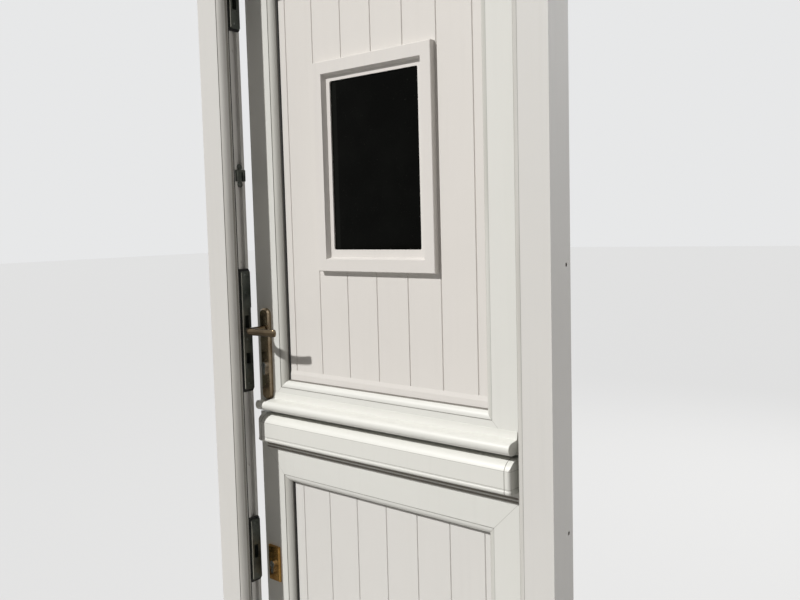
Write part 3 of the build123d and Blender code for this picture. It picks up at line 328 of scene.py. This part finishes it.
def buildRubbedMetal():
    # handled metal: a slow change of tone, rub marks along one way and dull spots
    group, first, last = newGroup(
        "rubbedMetal",
        [("Colour", "NodeSocketColor", (0.6, 0.6, 0.6, 1)), ("Dull", "NodeSocketColor", (0.4, 0.4, 0.4, 1)),
         ("Smear", "NodeSocketVector", (1, 1, 1)), ("Scale", "NodeSocketFloat", 300.0),
         ("Rough", "NodeSocketFloat", 0.25), ("Spots", "NodeSocketFloat", 0.3),
         ("Texture", "NodeSocketFloat", 0.05)],
        [("Colour", "NodeSocketColor"), ("Rough", "NodeSocketFloat"), ("Normal", "NodeSocketVector")])
    link = group.links.new
    place = group.nodes.new("ShaderNodeTexCoord").outputs["Object"]
    spread = group.nodes.new("ShaderNodeVectorMath")
    spread.operation = "MULTIPLY"
    link(place, spread.inputs[0])
    link(first.outputs["Smear"], spread.inputs[1])
    rub = group.nodes.new("ShaderNodeTexNoise")
    rub.inputs["Detail"].default_value = 4.0
    link(spread.outputs["Vector"], rub.inputs["Vector"])
    link(first.outputs["Scale"], rub.inputs["Scale"])
    slow = addNoise(group, place, rubbed["slow"])
    speckle = addRange(group, addNoise(group, place, rubbed["spots"], 5.0), 0.55, 0.75, 0.0, 1.0)
    spots = addMath(group, "MULTIPLY", speckle, first.outputs["Spots"])
    tone = addBlend(group, addRange(group, slow, 0.35, 0.65, 0.0, 1.0), first.outputs["Colour"],
                    first.outputs["Dull"])
    link(addBlend(group, spots, tone, first.outputs["Dull"]), last.inputs["Colour"])
    change = addRange(group, rub.outputs["Fac"], 0.0, 1.0, 0.7, 1.35)
    rough = addMath(group, "MULTIPLY", first.outputs["Rough"], change)
    link(addMath(group, "MULTIPLY_ADD", spots, rubbed["spotRough"], rough), last.inputs["Rough"])
    bump = group.nodes.new("ShaderNodeBump")
    bump.inputs["Distance"].default_value = rubbed["high"]
    link(rub.outputs["Fac"], bump.inputs["Height"])
    link(first.outputs["Texture"], bump.inputs["Strength"])
    link(bump.outputs["Normal"], last.inputs["Normal"])
    return group


mouldedSkin = buildMouldedSkin()
barLines = buildBarLines()
railLines = buildRailLines()
rubbedMetal = buildRubbedMetal()


def newMaterial(name, colour):
    mat = bpy.data.materials.new(name)
    mat.use_nodes = True
    mat.diffuse_color = (*colour, 1)
    return mat, mat.node_tree, mat.node_tree.nodes["Principled BSDF"]


def useGroup(tree, shader, group, values):
    node = tree.nodes.new("ShaderNodeGroup")
    node.node_tree = group
    for label, value in values.items():
        node.inputs[label].default_value = (*value, 1) if label in ("Colour", "Dull", "GrimeAndShade") else value
    if shader:
        tree.links.new(node.outputs["Colour"], shader.inputs["Base Color"])
        tree.links.new(node.outputs["Rough"], shader.inputs["Roughness"])
        tree.links.new(node.outputs["Normal"], shader.inputs["Normal"])
    return node


def closedPlace(tree, ajar):
    # object coordinates, turned back where a leaf stands ajar, so that its corners are square
    place = tree.nodes.new("ShaderNodeTexCoord").outputs["Object"]
    if not ajar:
        return place
    closed = tree.nodes.new("ShaderNodeMapping")
    pin = Vector((hinge["x"] * mm, hinge["y"] * mm, 0))
    closed.inputs["Rotation"].default_value = (0, 0, hinge["angle"])
    closed.inputs["Location"].default_value = pin - Matrix.Rotation(hinge["angle"], 3, "Z") @ pin
    tree.links.new(place, closed.inputs["Vector"])
    return closed.outputs["Vector"]


def plastic(name, colour, rough=0.3, drift=0.03, dirt=0.08, texture=0.05, lines=None, ajar=False):
    # lines: the group that draws this piece's seams and its painted shade, and the group's values
    mat, tree, shader = newMaterial(name, colour)
    skin = useGroup(tree, shader, mouldedSkin,
                    {"Colour": colour, "GrimeAndShade": moulded["grimeAndShade"], "Rough": rough, "Drift": drift,
                     "Dirt": dirt, "Texture": texture})
    shader.inputs["IOR"].default_value = 1.5
    if lines:
        seamsAndShade = useGroup(tree, None, lines[0], lines[1])
        tree.links.new(closedPlace(tree, ajar), seamsAndShade.inputs["Place"])
        for output in seamsAndShade.outputs:
            tree.links.new(output, skin.inputs[output.name])
    return mat


def metal(name, colour, dull, rough, smear=(1.0, 1.0, 1.0), scale=300.0, spots=0.3, texture=0.05):
    mat, tree, shader = newMaterial(name, colour)
    shader.inputs["Metallic"].default_value = 1.0
    useGroup(tree, shader, rubbedMetal, {"Colour": colour, "Dull": dull, "Smear": smear, "Scale": scale,
                                         "Rough": rough, "Spots": spots, "Texture": texture})
    return mat


# the sealed unit looks black: film, a paler strip along its left edge that is a painted reflection, and dust
pane = {
    "clean": (0.0012, 0.0013, 0.0009), "film": (0.0026, 0.0028, 0.0022), "filmScale": 14.0,
    "reflectionStrip": (0.012, 0.013, 0.011), "reflectionX": (-0.114, -0.1125), "reflectionShare": 0.35,
    "dust": (0.06, 0.06, 0.05), "dustScale": 420.0, "dustShare": 0.6, "rough": (0.03, 0.09),
}


def darkGlass(name):
    mat, tree, shader = newMaterial(name, (0.01, 0.01, 0.01))
    place = closedPlace(tree, True)
    film = addRange(tree, addNoise(tree, place, pane["filmScale"], 5.0), 0.4, 0.8, 0.0, 1.0)
    base = addBlend(tree, film, pane["clean"], pane["film"])
    apart = tree.nodes.new("ShaderNodeSeparateXYZ")
    tree.links.new(place, apart.inputs["Vector"])
    # painted reflection: the glass is paler to the left of this line
    reflectionStrip = addRange(tree, apart.outputs["X"], *pane["reflectionX"], pane["reflectionShare"], 0.0)
    reflected = addBlend(tree, reflectionStrip, base, pane["reflectionStrip"])
    specks = addRange(tree, addNoise(tree, place, pane["dustScale"], 2.0), 0.72, 0.78, 0.0, pane["dustShare"])
    tree.links.new(addBlend(tree, specks, reflected, pane["dust"]), shader.inputs["Base Color"])
    tree.links.new(addRange(tree, film, 0.0, 1.0, *pane["rough"]), shader.inputs["Roughness"])
    shader.inputs["IOR"].default_value = 1.45
    shader.inputs["Specular IOR Level"].default_value = 0.04
    return mat


# the frame has no bar at its foot, so its lower corners are set far below
frameRing = (barLines, {"Half Width": 0.475, "Low": -9.0, "High": 2.1, "Flat": 0.065})
upperRing = (barLines, {"Half Width": 0.405, "Low": 0.9055, "High": 2.03})
lowerRing = (barLines, {"Half Width": 0.405, "Low": 0.032, "High": 0.847})
railFace = (railLines, {})
plastics = {
    "framePvc": dict(colour=(0.66, 0.65, 0.625), rough=0.28, dirt=0.05, lines=frameRing),
    "upperLeafPvc": dict(colour=(0.69, 0.69, 0.655), rough=0.28, dirt=0.04, lines=upperRing, ajar=True),
    "lowerLeafPvc": dict(colour=(0.68, 0.68, 0.645), rough=0.28, dirt=0.04, lines=lowerRing, ajar=True),
    "beadPvc": dict(colour=(0.69, 0.685, 0.645)),
    "upperPanelPvc": dict(colour=(0.676, 0.651, 0.618), rough=0.4, dirt=0.04, texture=0.12),
    "lowerPanelPvc": dict(colour=(0.66, 0.648, 0.622), rough=0.4, dirt=0.04, texture=0.12),
    "windowPvc": dict(colour=(0.676, 0.65, 0.619), rough=0.4, dirt=0.06, texture=0.12),
    "barPvc": dict(colour=(0.70, 0.70, 0.66), dirt=0.03),
    "railPvc": dict(colour=(0.70, 0.70, 0.66), dirt=0.03, lines=railFace, ajar=True),
    "blackRubber": dict(colour=(0.010, 0.009, 0.008), rough=0.6, drift=0.2, dirt=0.04, texture=0.3),
    "paleRubber": dict(colour=(0.27, 0.25, 0.22), rough=0.55, drift=0.1, dirt=0.2, texture=0.2),
    "blackPlastic": dict(colour=(0.012, 0.012, 0.012), rough=0.42, drift=0.2, dirt=0.03, texture=0.2),
    "greySpacer": dict(colour=(0.035, 0.035, 0.036), rough=0.5, drift=0.1, dirt=0.0, texture=0.1),
    "whitePaint": dict(colour=(0.69, 0.69, 0.66), rough=0.35, dirt=0.06, texture=0.1),
    # the pale keep edge is a painted glint of light along the keeps' lip
    "paintedGlintEdge": dict(colour=(0.86, 0.85, 0.76), rough=0.4, drift=0.15, dirt=0.3, texture=0.3),
}
metals = {
    "zincSteel": dict(colour=(0.42, 0.43, 0.41), dull=(0.26, 0.28, 0.26), rough=0.36, smear=(1, 1, 0.05)),
    # the keeps, the striker and their screws take a darker copy of the zinc, as painted shade
    "shadedZinc": dict(colour=(0.15, 0.16, 0.145), dull=(0.075, 0.085, 0.075), rough=0.42,
                     smear=(1, 1, 0.05), spots=0.6),
    "brightSteel": dict(colour=(0.60, 0.60, 0.60), dull=(0.42, 0.42, 0.42), rough=0.2, smear=(1, 1, 0.2)),
    "millAluminium": dict(colour=(0.55, 0.55, 0.56), dull=(0.40, 0.40, 0.41), rough=0.35, smear=(0.02, 1, 1)),
    "agedBrass": dict(colour=(0.50, 0.405, 0.285), dull=(0.34, 0.26, 0.17), rough=0.24,
                      scale=60.0, spots=0.15),
    # the levers take a darker copy of the brass, as a painted dark reflection
    "darkReflectionBrass": dict(colour=(0.16, 0.12, 0.075), dull=(0.08, 0.06, 0.037), rough=0.11,
                      scale=150.0, spots=0.5),
    "oldBrass": dict(colour=(0.60, 0.35, 0.11), dull=(0.38, 0.20, 0.06), rough=0.24, scale=150.0, spots=0.4),
}
finish = {name: plastic(name, **look) for name, look in plastics.items()}
finish.update({name: metal(name, **look) for name, look in metals.items()})
finish["glass"] = darkGlass("glass")

hingeFlags = ["hinge_%s_flag_%d" % (part, i) for part in ("frame", "leaf") for i in (1, 2, 3, 4)]
nodeFinish = {
    "framePvc": ["jamb_lock_side", "jamb_hinge_side", "frame_head"],
    "upperLeafPvc": ["upper_sash"],
    "lowerLeafPvc": ["lower_sash"],
    "beadPvc": ["upper_beads", "lower_beads"],
    "upperPanelPvc": ["upper_panel"],
    "lowerPanelPvc": ["lower_panel"],
    "windowPvc": ["window_outer_frame", "window_inner_frame"],
    "barPvc": ["upper_weather_bar", "lower_weather_bar"],
    "railPvc": ["drip_bar", "drip_bar_caps"],
    "blackRubber": ["frame_gasket", "upper_sash_gasket", "lower_sash_gasket", "meeting_seal"],
    "paleRubber": ["upper_panel_gasket", "lower_panel_gasket"],
    "blackPlastic": ["keep_packers"],
    "greySpacer": ["glass_spacer"],
    "whitePaint": ["link_bolt_housing", "link_bolt_keeper"] + hingeFlags,
    "shadedZinc": ["keep_top", "keep_centre", "keep_lower", "striker_plate"],
    "zincSteel": ["upper_faceplate", "lower_faceplate", "upper_lock_case", "lower_lock_case", "drive_rail",
                  "top_hook", "centre_bolt", "lower_bolt", "latch_bolt"],
    "brightSteel": ["spindle", "link_bolt", "upper_cylinder", "lower_cylinder", "upper_cylinder_plug",
                    "lower_cylinder_plug"],
    "millAluminium": ["threshold"],
    "agedBrass": ["outer_handle_plate", "inner_handle_plate"],
    "darkReflectionBrass": ["outer_lever", "inner_lever"],
    "oldBrass": ["lower_escutcheons"],
    "glass": ["glass_panes"],
}
for key, names in nodeFinish.items():
    for name in names:
        data = nodes[name].data
        data.materials.clear()
        data.materials.append(finish[key])
print("materials placed")

# all in millimetres on a closed leaf; the outside face looks towards -y
handle = {
    "x": -370, "z": 1132, "root": 22.7, "rootRadius": 9.4, "sides": 20,
    "neck": [(3.0, 9.4), (5.0, 8.4), (12.0, 7.7), (24.0, 7.6), (40.0, 7.8)],   # distance out, radius
    "bendRadius": 15.0, "bendSteps": 6, "bendTall": 9.6, "bendTurn": -1,   # towards +x
    # along x, y off, half thick, half tall
    "grip": [(19, 0.5, 7.0, 9.8), (30, 1.0, 6.4, 9.5), (46, 1.2, 5.8, 9.0), (62, 0.8, 5.5, 8.8),
             (78, -0.4, 5.3, 9.0), (92, -2.0, 5.1, 9.5), (100.5, -3.2, 4.9, 9.8), (103.8, -3.7, 4.0, 8.8),
             (105.0, -3.9, 1.8, 6.4)],
    "middleY": 67,   # the inside lever is the outside one mirrored about this
}


def extrudeRing(centre, before, after, new):
    # carries the selected ring on: before and after are its half sizes across and up
    drawOut(*[b - a for a, b in zip(centre, new)])
    return [v * mm for v in new], after[0] / before[0], after[1] / before[1]


def buildLever():
    h = handle
    place = [h["x"], h["root"], h["z"]]
    lever = addDisc("lever_outside", h["sides"], h["rootRadius"], place, (math.pi / 2, 0, 0))
    wide = tall = h["rootRadius"]
    for out, radius in h["neck"]:
        new = [h["x"], h["root"] - out, h["z"]]
        middle, across, up = extrudeRing(place, (wide, tall), (radius, radius), new)
        bpy.ops.transform.resize(value=(across, 1, up), center_override=middle)
        place, wide, tall = new, radius, radius
    # the bend turns about a point beside the neck, towards the grip
    pivot = ((h["x"] + h["bendRadius"]) * mm, place[1] * mm, h["z"] * mm)
    rise = (h["bendTall"] / tall) ** (1 / h["bendSteps"])
    for step in range(h["bendSteps"]):
        drawOut(0, 0, 0)
        bpy.ops.transform.rotate(value=h["bendTurn"] * math.pi / 2 / h["bendSteps"], orient_axis="Z",
                                 center_override=pivot)
        bpy.ops.transform.resize(value=(1, 1, rise), center_override=pivot)
    gripY = place[1] - h["bendRadius"]
    place = [h["x"] + h["bendRadius"], gripY, h["z"]]
    thick, tall = wide, h["bendTall"]
    for along, off, halfThick, halfTall in h["grip"]:
        new = [h["x"] + along, gripY - off, h["z"]]
        middle, across, up = extrudeRing(place, (thick, tall), (halfThick, halfTall), new)
        bpy.ops.transform.resize(value=(1, across, up), center_override=middle)
        place, thick, tall = new, halfThick, halfTall
    bpy.ops.object.mode_set(mode="OBJECT")
    smooth = lever.modifiers.new("smooth", "SUBSURF")
    smooth.levels = smooth.render_levels = 1
    useOnly(lever)
    bpy.ops.object.modifier_apply(modifier="smooth")
    return lever


outsideLever = buildLever()
insideLever = copyPiece(outsideLever, "lever_inside")
bpy.ops.object.mode_set(mode="EDIT")
bpy.ops.mesh.select_all(action="SELECT")
bpy.ops.transform.resize(value=(1, -1, 1), center_override=(0, handle["middleY"] * mm, 0))
bpy.ops.object.mode_set(mode="OBJECT")
for piece, node in ((outsideLever, "outer_lever"), (insideLever, "inner_lever")):
    placePiece(piece, leafTurn)
    finishPiece(piece, "lever_set", finish["darkReflectionBrass"], angle=60)
    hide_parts(node)
print("levers modelled")

# head standing on the plane z = 0, its cross cut with one bar turned twice; spin turns each next head
screw = {
    "sides": 20, "radius": 4.0, "sunk": 0.3,
    "rings": [(0.35, 4.0), (0.85, 3.5), (1.15, 2.7), (1.25, 1.6)],   # height, radius
    "cross": (4.6, 0.95, 1.3), "crossHigh": 1.3, "spin": 0.7,
}


def buildScrew():
    high, wide = -screw["sunk"], screw["radius"]
    head = addDisc("screw_pattern", screw["sides"], wide, (0, 0, high))
    for z, radius in screw["rings"]:
        drawOut(0, 0, z - high)
        bpy.ops.transform.resize(value=(radius / wide, radius / wide, 1), center_override=(0, 0, z * mm))
        high, wide = z, radius
    bpy.ops.mesh.select_all(action="SELECT")
    bpy.ops.mesh.normals_make_consistent(inside=False)
    bpy.ops.object.mode_set(mode="OBJECT")
    long, thin, deep = screw["cross"]
    for turn in (0, math.pi / 2):
        clearSelection()
        bpy.ops.mesh.primitive_cube_add(size=1, location=(0, 0, screw["crossHigh"] * mm),
                                        rotation=(0, 0, turn), scale=(long * mm, thin * mm, deep * mm))
        bar = takeNew("crossBar")
        cut = head.modifiers.new("cross", "BOOLEAN")
        cut.operation = "DIFFERENCE"
        cut.object = bar
        useOnly(head)
        bpy.ops.object.modifier_apply(modifier="cross")
        useOnly(bar)
        bpy.ops.object.delete()
    return head


screwWays = {
    "jamb": Matrix.Rotation(math.pi / 2, 4, "Y"),        # towards +x, off the lock jamb
    "edge": Matrix.Rotation(-math.pi / 2, 4, "Y"),       # towards -x, off the leaf's lock edge
    "inside": Matrix.Rotation(-math.pi / 2, 4, "X"),     # towards +y
}
flagLevels = {"lower": (130, 690), "upper": (1010, 1860)}


def flagPlaces(levels, places):
    # the same screws in the hinge flag at each level
    return [(x, y, level + up) for level in levels for x, y, up in places]


frameFlag = [(460, 83, up) for up in (2, 34, 66)]
leafFlag = [(366, 107, 38), (366, 107, 86), (402, 107, 62)]
faceplateZ = (946, 1019, 1098, 1206, 1300, 1440, 1580, 1720, 1860, 2004)
# name: body, finish, slot, on a leaf, way it faces, size, places in millimetres
screwRows = {
    "keep_screws": ("frame", "shadedZinc", "zinc_steel", False, "jamb", 1.0,
                    [(-411, 61, z) for z in (1882, 1992, 992, 1106, 1222, 1267, 497, 630)]),
    "striker_screws": ("frame", "shadedZinc", "zinc_steel", False, "jamb", 0.85,
                       [(-415, 61, 1491), (-415, 61, 1537)]),
    "hinge_frame_screws": ("frame", "whitePaint", "white_paint", False, "inside", 1.05,
                           flagPlaces(flagLevels["lower"] + flagLevels["upper"], frameFlag)),
    "upper_hinge_screws": ("upper_leaf", "whitePaint", "white_paint", True, "inside", 1.05,
                           flagPlaces(flagLevels["upper"], leafFlag)),
    "lower_hinge_screws": ("lower_leaf", "whitePaint", "white_paint", True, "inside", 1.05,
                           flagPlaces(flagLevels["lower"], leafFlag)),
    "handle_screws": ("upper_leaf", "agedBrass", "brass", True, "inside", 1.0,
                      [(-370, 111, 966), (-370, 111, 1170)]),
    "escutcheon_screws": ("lower_leaf", "oldBrass", "brass", True, "inside", 0.9,
                          [(-370, 109, 491), (-370, 109, 559)]),
    "upper_faceplate_screws": ("upper_leaf", "brightSteel", "bright_steel", True, "edge", 0.9,
                               [(-405, 61, z) for z in faceplateZ]),
    "lower_faceplate_screws": ("lower_leaf", "brightSteel", "bright_steel", True, "edge", 0.9,
                               [(-405, 61, z) for z in (452, 504, 618)]),
    "link_bolt_screws": ("upper_leaf", "brightSteel", "bright_steel", True, "inside", 0.7,
                         [(x, 106, z) for x in (-264, -236) for z in (948, 1032)]),
    "link_keeper_screws": ("lower_leaf", "brightSteel", "bright_steel", True, "inside", 0.7,
                           [(-264, 106, 901), (-236, 106, 901)]),
}
pattern = buildScrew()
for name, (body, look, slot, ajar, way, size, places) in screwRows.items():
    heads = []
    for i, place in enumerate(places):
        head = copyPiece(pattern, "%s_%d" % (name, i))
        spin = Matrix.Rotation(screw["spin"] * i, 4, "Z")
        at = Matrix.Translation([v * mm for v in place]) @ screwWays[way] @ spin @ Matrix.Scale(size, 4)
        placePiece(head, leafTurn @ at if ajar else at)
        heads.append(head)
    finishPiece(joinAll(heads, name), body, finish[look], angle=40)
useOnly(pattern)
bpy.ops.object.delete()
print("screws placed")

striker = {
    "back": -417, "middle": 61, "soften": 0.8,
    "lugZ": (1493, 1535), "lugSides": 32, "lugRadius": 8.0, "lugThick": 2.0, "lugBevel": 0.6,
    "box": (1500, 1528), "boxHalf": 14.0, "boxRise": 6.6, "mouthHalf": 6.3, "mouthTop": 1522,
}


def buildStriker():
    # small keep for the rail's cam: a box open below, between two round lugs
    k = striker
    made = []
    for i, z in enumerate(k["lugZ"]):
        lug = addDisc("lug_%d" % i, k["lugSides"], k["lugRadius"], (k["back"], k["middle"], z),
                      (0, math.pi / 2, 0))
        drawOut(k["lugThick"] - k["lugBevel"], 0, 0)
        drawOut(k["lugBevel"], 0, 0)
        shrink = 1 - k["lugBevel"] / k["lugRadius"]
        bpy.ops.transform.resize(value=(1, shrink, shrink), center_override=(0, k["middle"] * mm, z * mm))
        made.append(lug)
    low, high = k["box"]
    box = addUpright("strikerBox", high - low, 2 * k["boxHalf"], (k["back"], k["middle"], (low + high) / 2))
    # cuts beside and above the mouth, then the faces round it are drawn out
    for side in (-1, 1):
        bpy.ops.mesh.select_all(action="SELECT")
        bpy.ops.mesh.bisect(plane_co=(0, (k["middle"] + side * k["mouthHalf"]) * mm, 0), plane_no=(0, 1, 0))
    bpy.ops.mesh.select_all(action="SELECT")
    bpy.ops.mesh.bisect(plane_co=(0, 0, k["mouthTop"] * mm), plane_no=(0, 0, 1))
    pick(box, "FACE", lambda middle, way: middle.z > k["mouthTop"] * mm
         or abs(middle.y - k["middle"] * mm) > k["mouthHalf"] * mm)
    drawOut(k["boxRise"], 0, 0)
    bpy.ops.object.mode_set(mode="OBJECT")
    soften = box.modifiers.new("soften", "BEVEL")
    soften.width = k["soften"] * mm
    soften.segments = 2
    soften.limit_method = "ANGLE"
    useOnly(box)
    bpy.ops.object.modifier_apply(modifier="soften")
    made.append(box)
    piece = joinAll(made, "striker")
    finishPiece(piece, "frame", finish["shadedZinc"])
    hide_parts("striker_plate")


buildStriker()
print("striker modelled")

gasketShadeBead = {"x": 304.3, "y": 48.4, "radius": 2.9, "sides": 12, "steps": 8,
              "upper": (1007, 1929), "lower": (133, 746)}


def buildGasketBeads():
    # black seal that shows beside each panel, along the lock stile, made wide enough to stand in also for the
    # shadow there, as painted shade
    g = gasketShadeBead
    for leaf in ("upper", "lower"):
        low, high = g[leaf]
        bead = addDisc(leaf + "_gasket_shade_bead", g["sides"], g["radius"], (-g["x"], g["y"], low))
        for step in range(g["steps"]):
            drawOut(0, 0, (high - low) / g["steps"])
        bpy.ops.object.mode_set(mode="OBJECT")
        placePiece(bead, leafTurn)
        finishPiece(bead, leaf + "_leaf", finish["blackRubber"])


buildGasketBeads()

# along the meeting rail's foot: a bead on the nose and two seals on the sash below it, which darken the shade
# under the nose as painted shade
railTrim = {
    "half": 385, "sides": 24, "ends": [(0.8, 2.0), (2.2, 1.5), (4.0, 1.1)],   # step, growth
    # place out and up, half sizes out and up, finish, slot
    "strips": {"rail_bead": (9.0, 854.9, 6.6, 6.5, "railPvc", "leaf_pvc"),
               # the two seals are greyish strips that paint dark bands of shade under the nose
               "rail_upper_shade_seal": (32.4, 837.0, 1.3, 2.4, "paleRubber", "black_rubber"),
               "rail_lower_shade_seal": (32.4, 829.5, 1.3, 2.4, "paleRubber", "black_rubber")},
}


def buildRailTrim():
    t = railTrim
    start = 1.0
    for step, growth in t["ends"]:
        start /= growth
    run = 2 * (t["half"] - sum(step for step, growth in t["ends"]))
    for name, (out, up, deep, high, look, slot) in t["strips"].items():
        middle = (0, out * mm, up * mm)
        strip = addDisc(name, t["sides"], start, (-t["half"], out, up), (0, math.pi / 2, 0))
        bpy.ops.transform.resize(value=(1, deep, high), center_override=middle)
        for step, growth in t["ends"]:
            drawOut(step, 0, 0)
            bpy.ops.transform.resize(value=(1, growth, growth), center_override=middle)
        drawOut(run, 0, 0)
        for step, growth in reversed(t["ends"]):
            drawOut(step, 0, 0)
            bpy.ops.transform.resize(value=(1, 1 / growth, 1 / growth), center_override=middle)
        bpy.ops.object.mode_set(mode="OBJECT")
        placePiece(strip, leafTurn)
        finishPiece(strip, "lower_leaf", finish[look])


buildRailTrim()
print("seals and rail trim laid")

# raised edge along the outside of each keep, a little wavy, pale as a painted glint of light on the keep's
# lip; reach finds one row of its corners
keepEdge = {
    "x": -411, "y": 47.4, "sink": 0.2, "wide": 1.8, "rise": 1.1, "taper": 0.5,
    "cuts": 30, "reach": 0.5, "waver": 0.5, "waves": (2.4, 0.9), "lean": 0.008,
    "ranges": {"top": (1873, 2001), "centre": (982, 1274), "lower": (488, 639)},
}


def buildKeepEdges():
    k = keepEdge
    made = []
    for name, (low, high) in k["ranges"].items():
        middleZ = (low + high) / 2
        edge = addUpright("edge_" + name, high - low, k["wide"], (k["x"] - k["sink"], k["y"], middleZ))
        pick(edge, "EDGE", lambda middle, way: abs(way.z) > abs(way.y))
        bpy.ops.mesh.subdivide(number_cuts=k["cuts"])
        for i in range(k["cuts"] + 2):
            z = low + (high - low) * i / (k["cuts"] + 1)
            pick(edge, "VERT", lambda middle, way: abs(middle.z - z * mm) < k["reach"] * mm)
            shift = k["waver"] * math.sin(i * k["waves"][0]) * math.sin(i * k["waves"][1] + low) \
                + k["lean"] * (z - middleZ)
            bpy.ops.transform.translate(value=(0, shift * mm, 0))
        bpy.ops.mesh.select_all(action="SELECT")
        drawOut(k["rise"], 0, 0)
        bpy.ops.transform.resize(value=(1, k["taper"], 1), center_override=(0, k["y"] * mm, 0))
        made.append(edge)
        clearSelection()
    finishPiece(joinAll(made, "keep_edges"), "frame", finish["paintedGlintEdge"], angle=50)


buildKeepEdges()
print("keeps dressed")

# tone is lit and keeps the shadow, seen is what the camera gets of the paper itself, by its share
paper = {"size": 80.0, "tone": (0.34, 0.335, 0.325), "mottle": 0.98, "mottleScale": 2.0, "rough": 0.9,
         "seen": (0.97, 0.975, 0.98), "share": 0.65}


def buildFloor():
    clearSelection()
    bpy.ops.mesh.primitive_plane_add(size=paper["size"], location=(0, 0, 0))
    floor = takeNew("floor")
    mat, tree, shader = newMaterial("floorPaper", paper["tone"])
    shader.inputs["Roughness"].default_value = paper["rough"]
    place = tree.nodes.new("ShaderNodeTexCoord").outputs["Object"]
    mottle = addNoise(tree, place, paper["mottleScale"])
    dark = tuple(c * paper["mottle"] for c in paper["tone"])
    tree.links.new(addBlend(tree, mottle, dark, paper["tone"]), shader.inputs["Base Color"])
    pale = tree.nodes.new("ShaderNodeEmission")
    pale.inputs["Color"].default_value = (*paper["seen"], 1)
    both = tree.nodes.new("ShaderNodeMixShader")
    ray = tree.nodes.new("ShaderNodeLightPath")
    seen = addMath(tree, "MULTIPLY", ray.outputs["Is Camera Ray"], paper["share"])
    tree.links.new(seen, both.inputs["Fac"])
    tree.links.new(shader.outputs["BSDF"], both.inputs[1])
    tree.links.new(pale.outputs["Emission"], both.inputs[2])
    tree.links.new(both.outputs["Shader"], tree.nodes["Material Output"].inputs["Surface"])
    floor.data.materials.append(mat)


buildFloor()

# the key is far off, so it lights the door evenly from top to foot; size is the sun's angle or
# an area lamp's side in metres
lamps = {
    "key": {"kind": "SUN", "place": (-1.95, -3.25, 4.32), "aim": (0, 0, 1.2), "size": math.radians(2.0),
            "power": 3.62, "tone": (1.0, 0.99, 0.975)},
    "side": {"kind": "AREA", "place": (4.6, 0.4, 2.0), "aim": (0.4, 0, 1.2), "size": 2.6, "power": 60,
             "tone": (0.97, 0.98, 1.0)},
    "back": {"kind": "AREA", "place": (0.2, 4.2, 3.2), "aim": (0, 0, 1.2), "size": 2.0, "power": 130,
             "tone": (1, 1, 1)},
}
for name, lamp in lamps.items():
    data = bpy.data.lights.new(name + "Lamp", lamp["kind"])
    if lamp["kind"] == "SUN":
        data.angle = lamp["size"]
    else:
        data.size = lamp["size"]
    data.energy = lamp["power"]
    data.color = lamp["tone"]
    holder = bpy.data.objects.new(name + "Lamp", data)
    bpy.context.scene.collection.objects.link(holder)
    holder.location = lamp["place"]
    aim = Vector(lamp["aim"]) - Vector(lamp["place"])
    holder.rotation_euler = aim.to_track_quat("-Z", "Y").to_euler()

air = {"light": (0.95, 0.87, 0.82), "strength": 0.13, "seen": (0.80, 0.805, 0.81)}


def buildAir():
    # soft light all round; the camera, metal and glass see the pale background
    world = bpy.data.worlds.new("softAir")
    bpy.context.scene.world = world
    world.use_nodes = True
    tree = world.node_tree
    soft = tree.nodes["Background"]
    soft.inputs["Color"].default_value = (*air["light"], 1)
    soft.inputs["Strength"].default_value = air["strength"]
    pale = tree.nodes.new("ShaderNodeBackground")
    pale.inputs["Color"].default_value = (*air["seen"], 1)
    ray = tree.nodes.new("ShaderNodeLightPath")
    seen = addMath(tree, "MAXIMUM", ray.outputs["Is Camera Ray"],
                   addMath(tree, "MAXIMUM", ray.outputs["Is Glossy Ray"], ray.outputs["Is Transmission Ray"]))
    both = tree.nodes.new("ShaderNodeMixShader")
    tree.links.new(seen, both.inputs["Fac"])
    tree.links.new(soft.outputs["Background"], both.inputs[1])
    tree.links.new(pale.outputs["Background"], both.inputs[2])
    tree.links.new(both.outputs["Shader"], tree.nodes["World Output"].inputs["Surface"])


buildAir()

camera = {
    "place": (1.244718, -1.444846, 1.383332),
    "right": (0.79121138, 0.61098609, -0.02591567),
    "up": (-0.03164891, 0.08322416, 0.99602942),
    "ahead": (-0.61072178, 0.78725047, -0.08518361),
    "lens": 39.709, "sensor": 36.0, "near": 0.05,
}
eye = bpy.data.cameras.new("photoCamera")
eye.lens = camera["lens"]
eye.sensor_width = camera["sensor"]
eye.clip_start = camera["near"]
eyeObject = bpy.data.objects.new("photoCamera", eye)
bpy.context.scene.collection.objects.link(eyeObject)
turn = Matrix((camera["right"], camera["up"], [-c for c in camera["ahead"]])).transposed()
eyeObject.matrix_world = Matrix.Translation(camera["place"]) @ turn.to_4x4()
bpy.context.scene.camera = eyeObject
bpy.context.scene.view_settings.view_transform = "Standard"
print("stage ready")
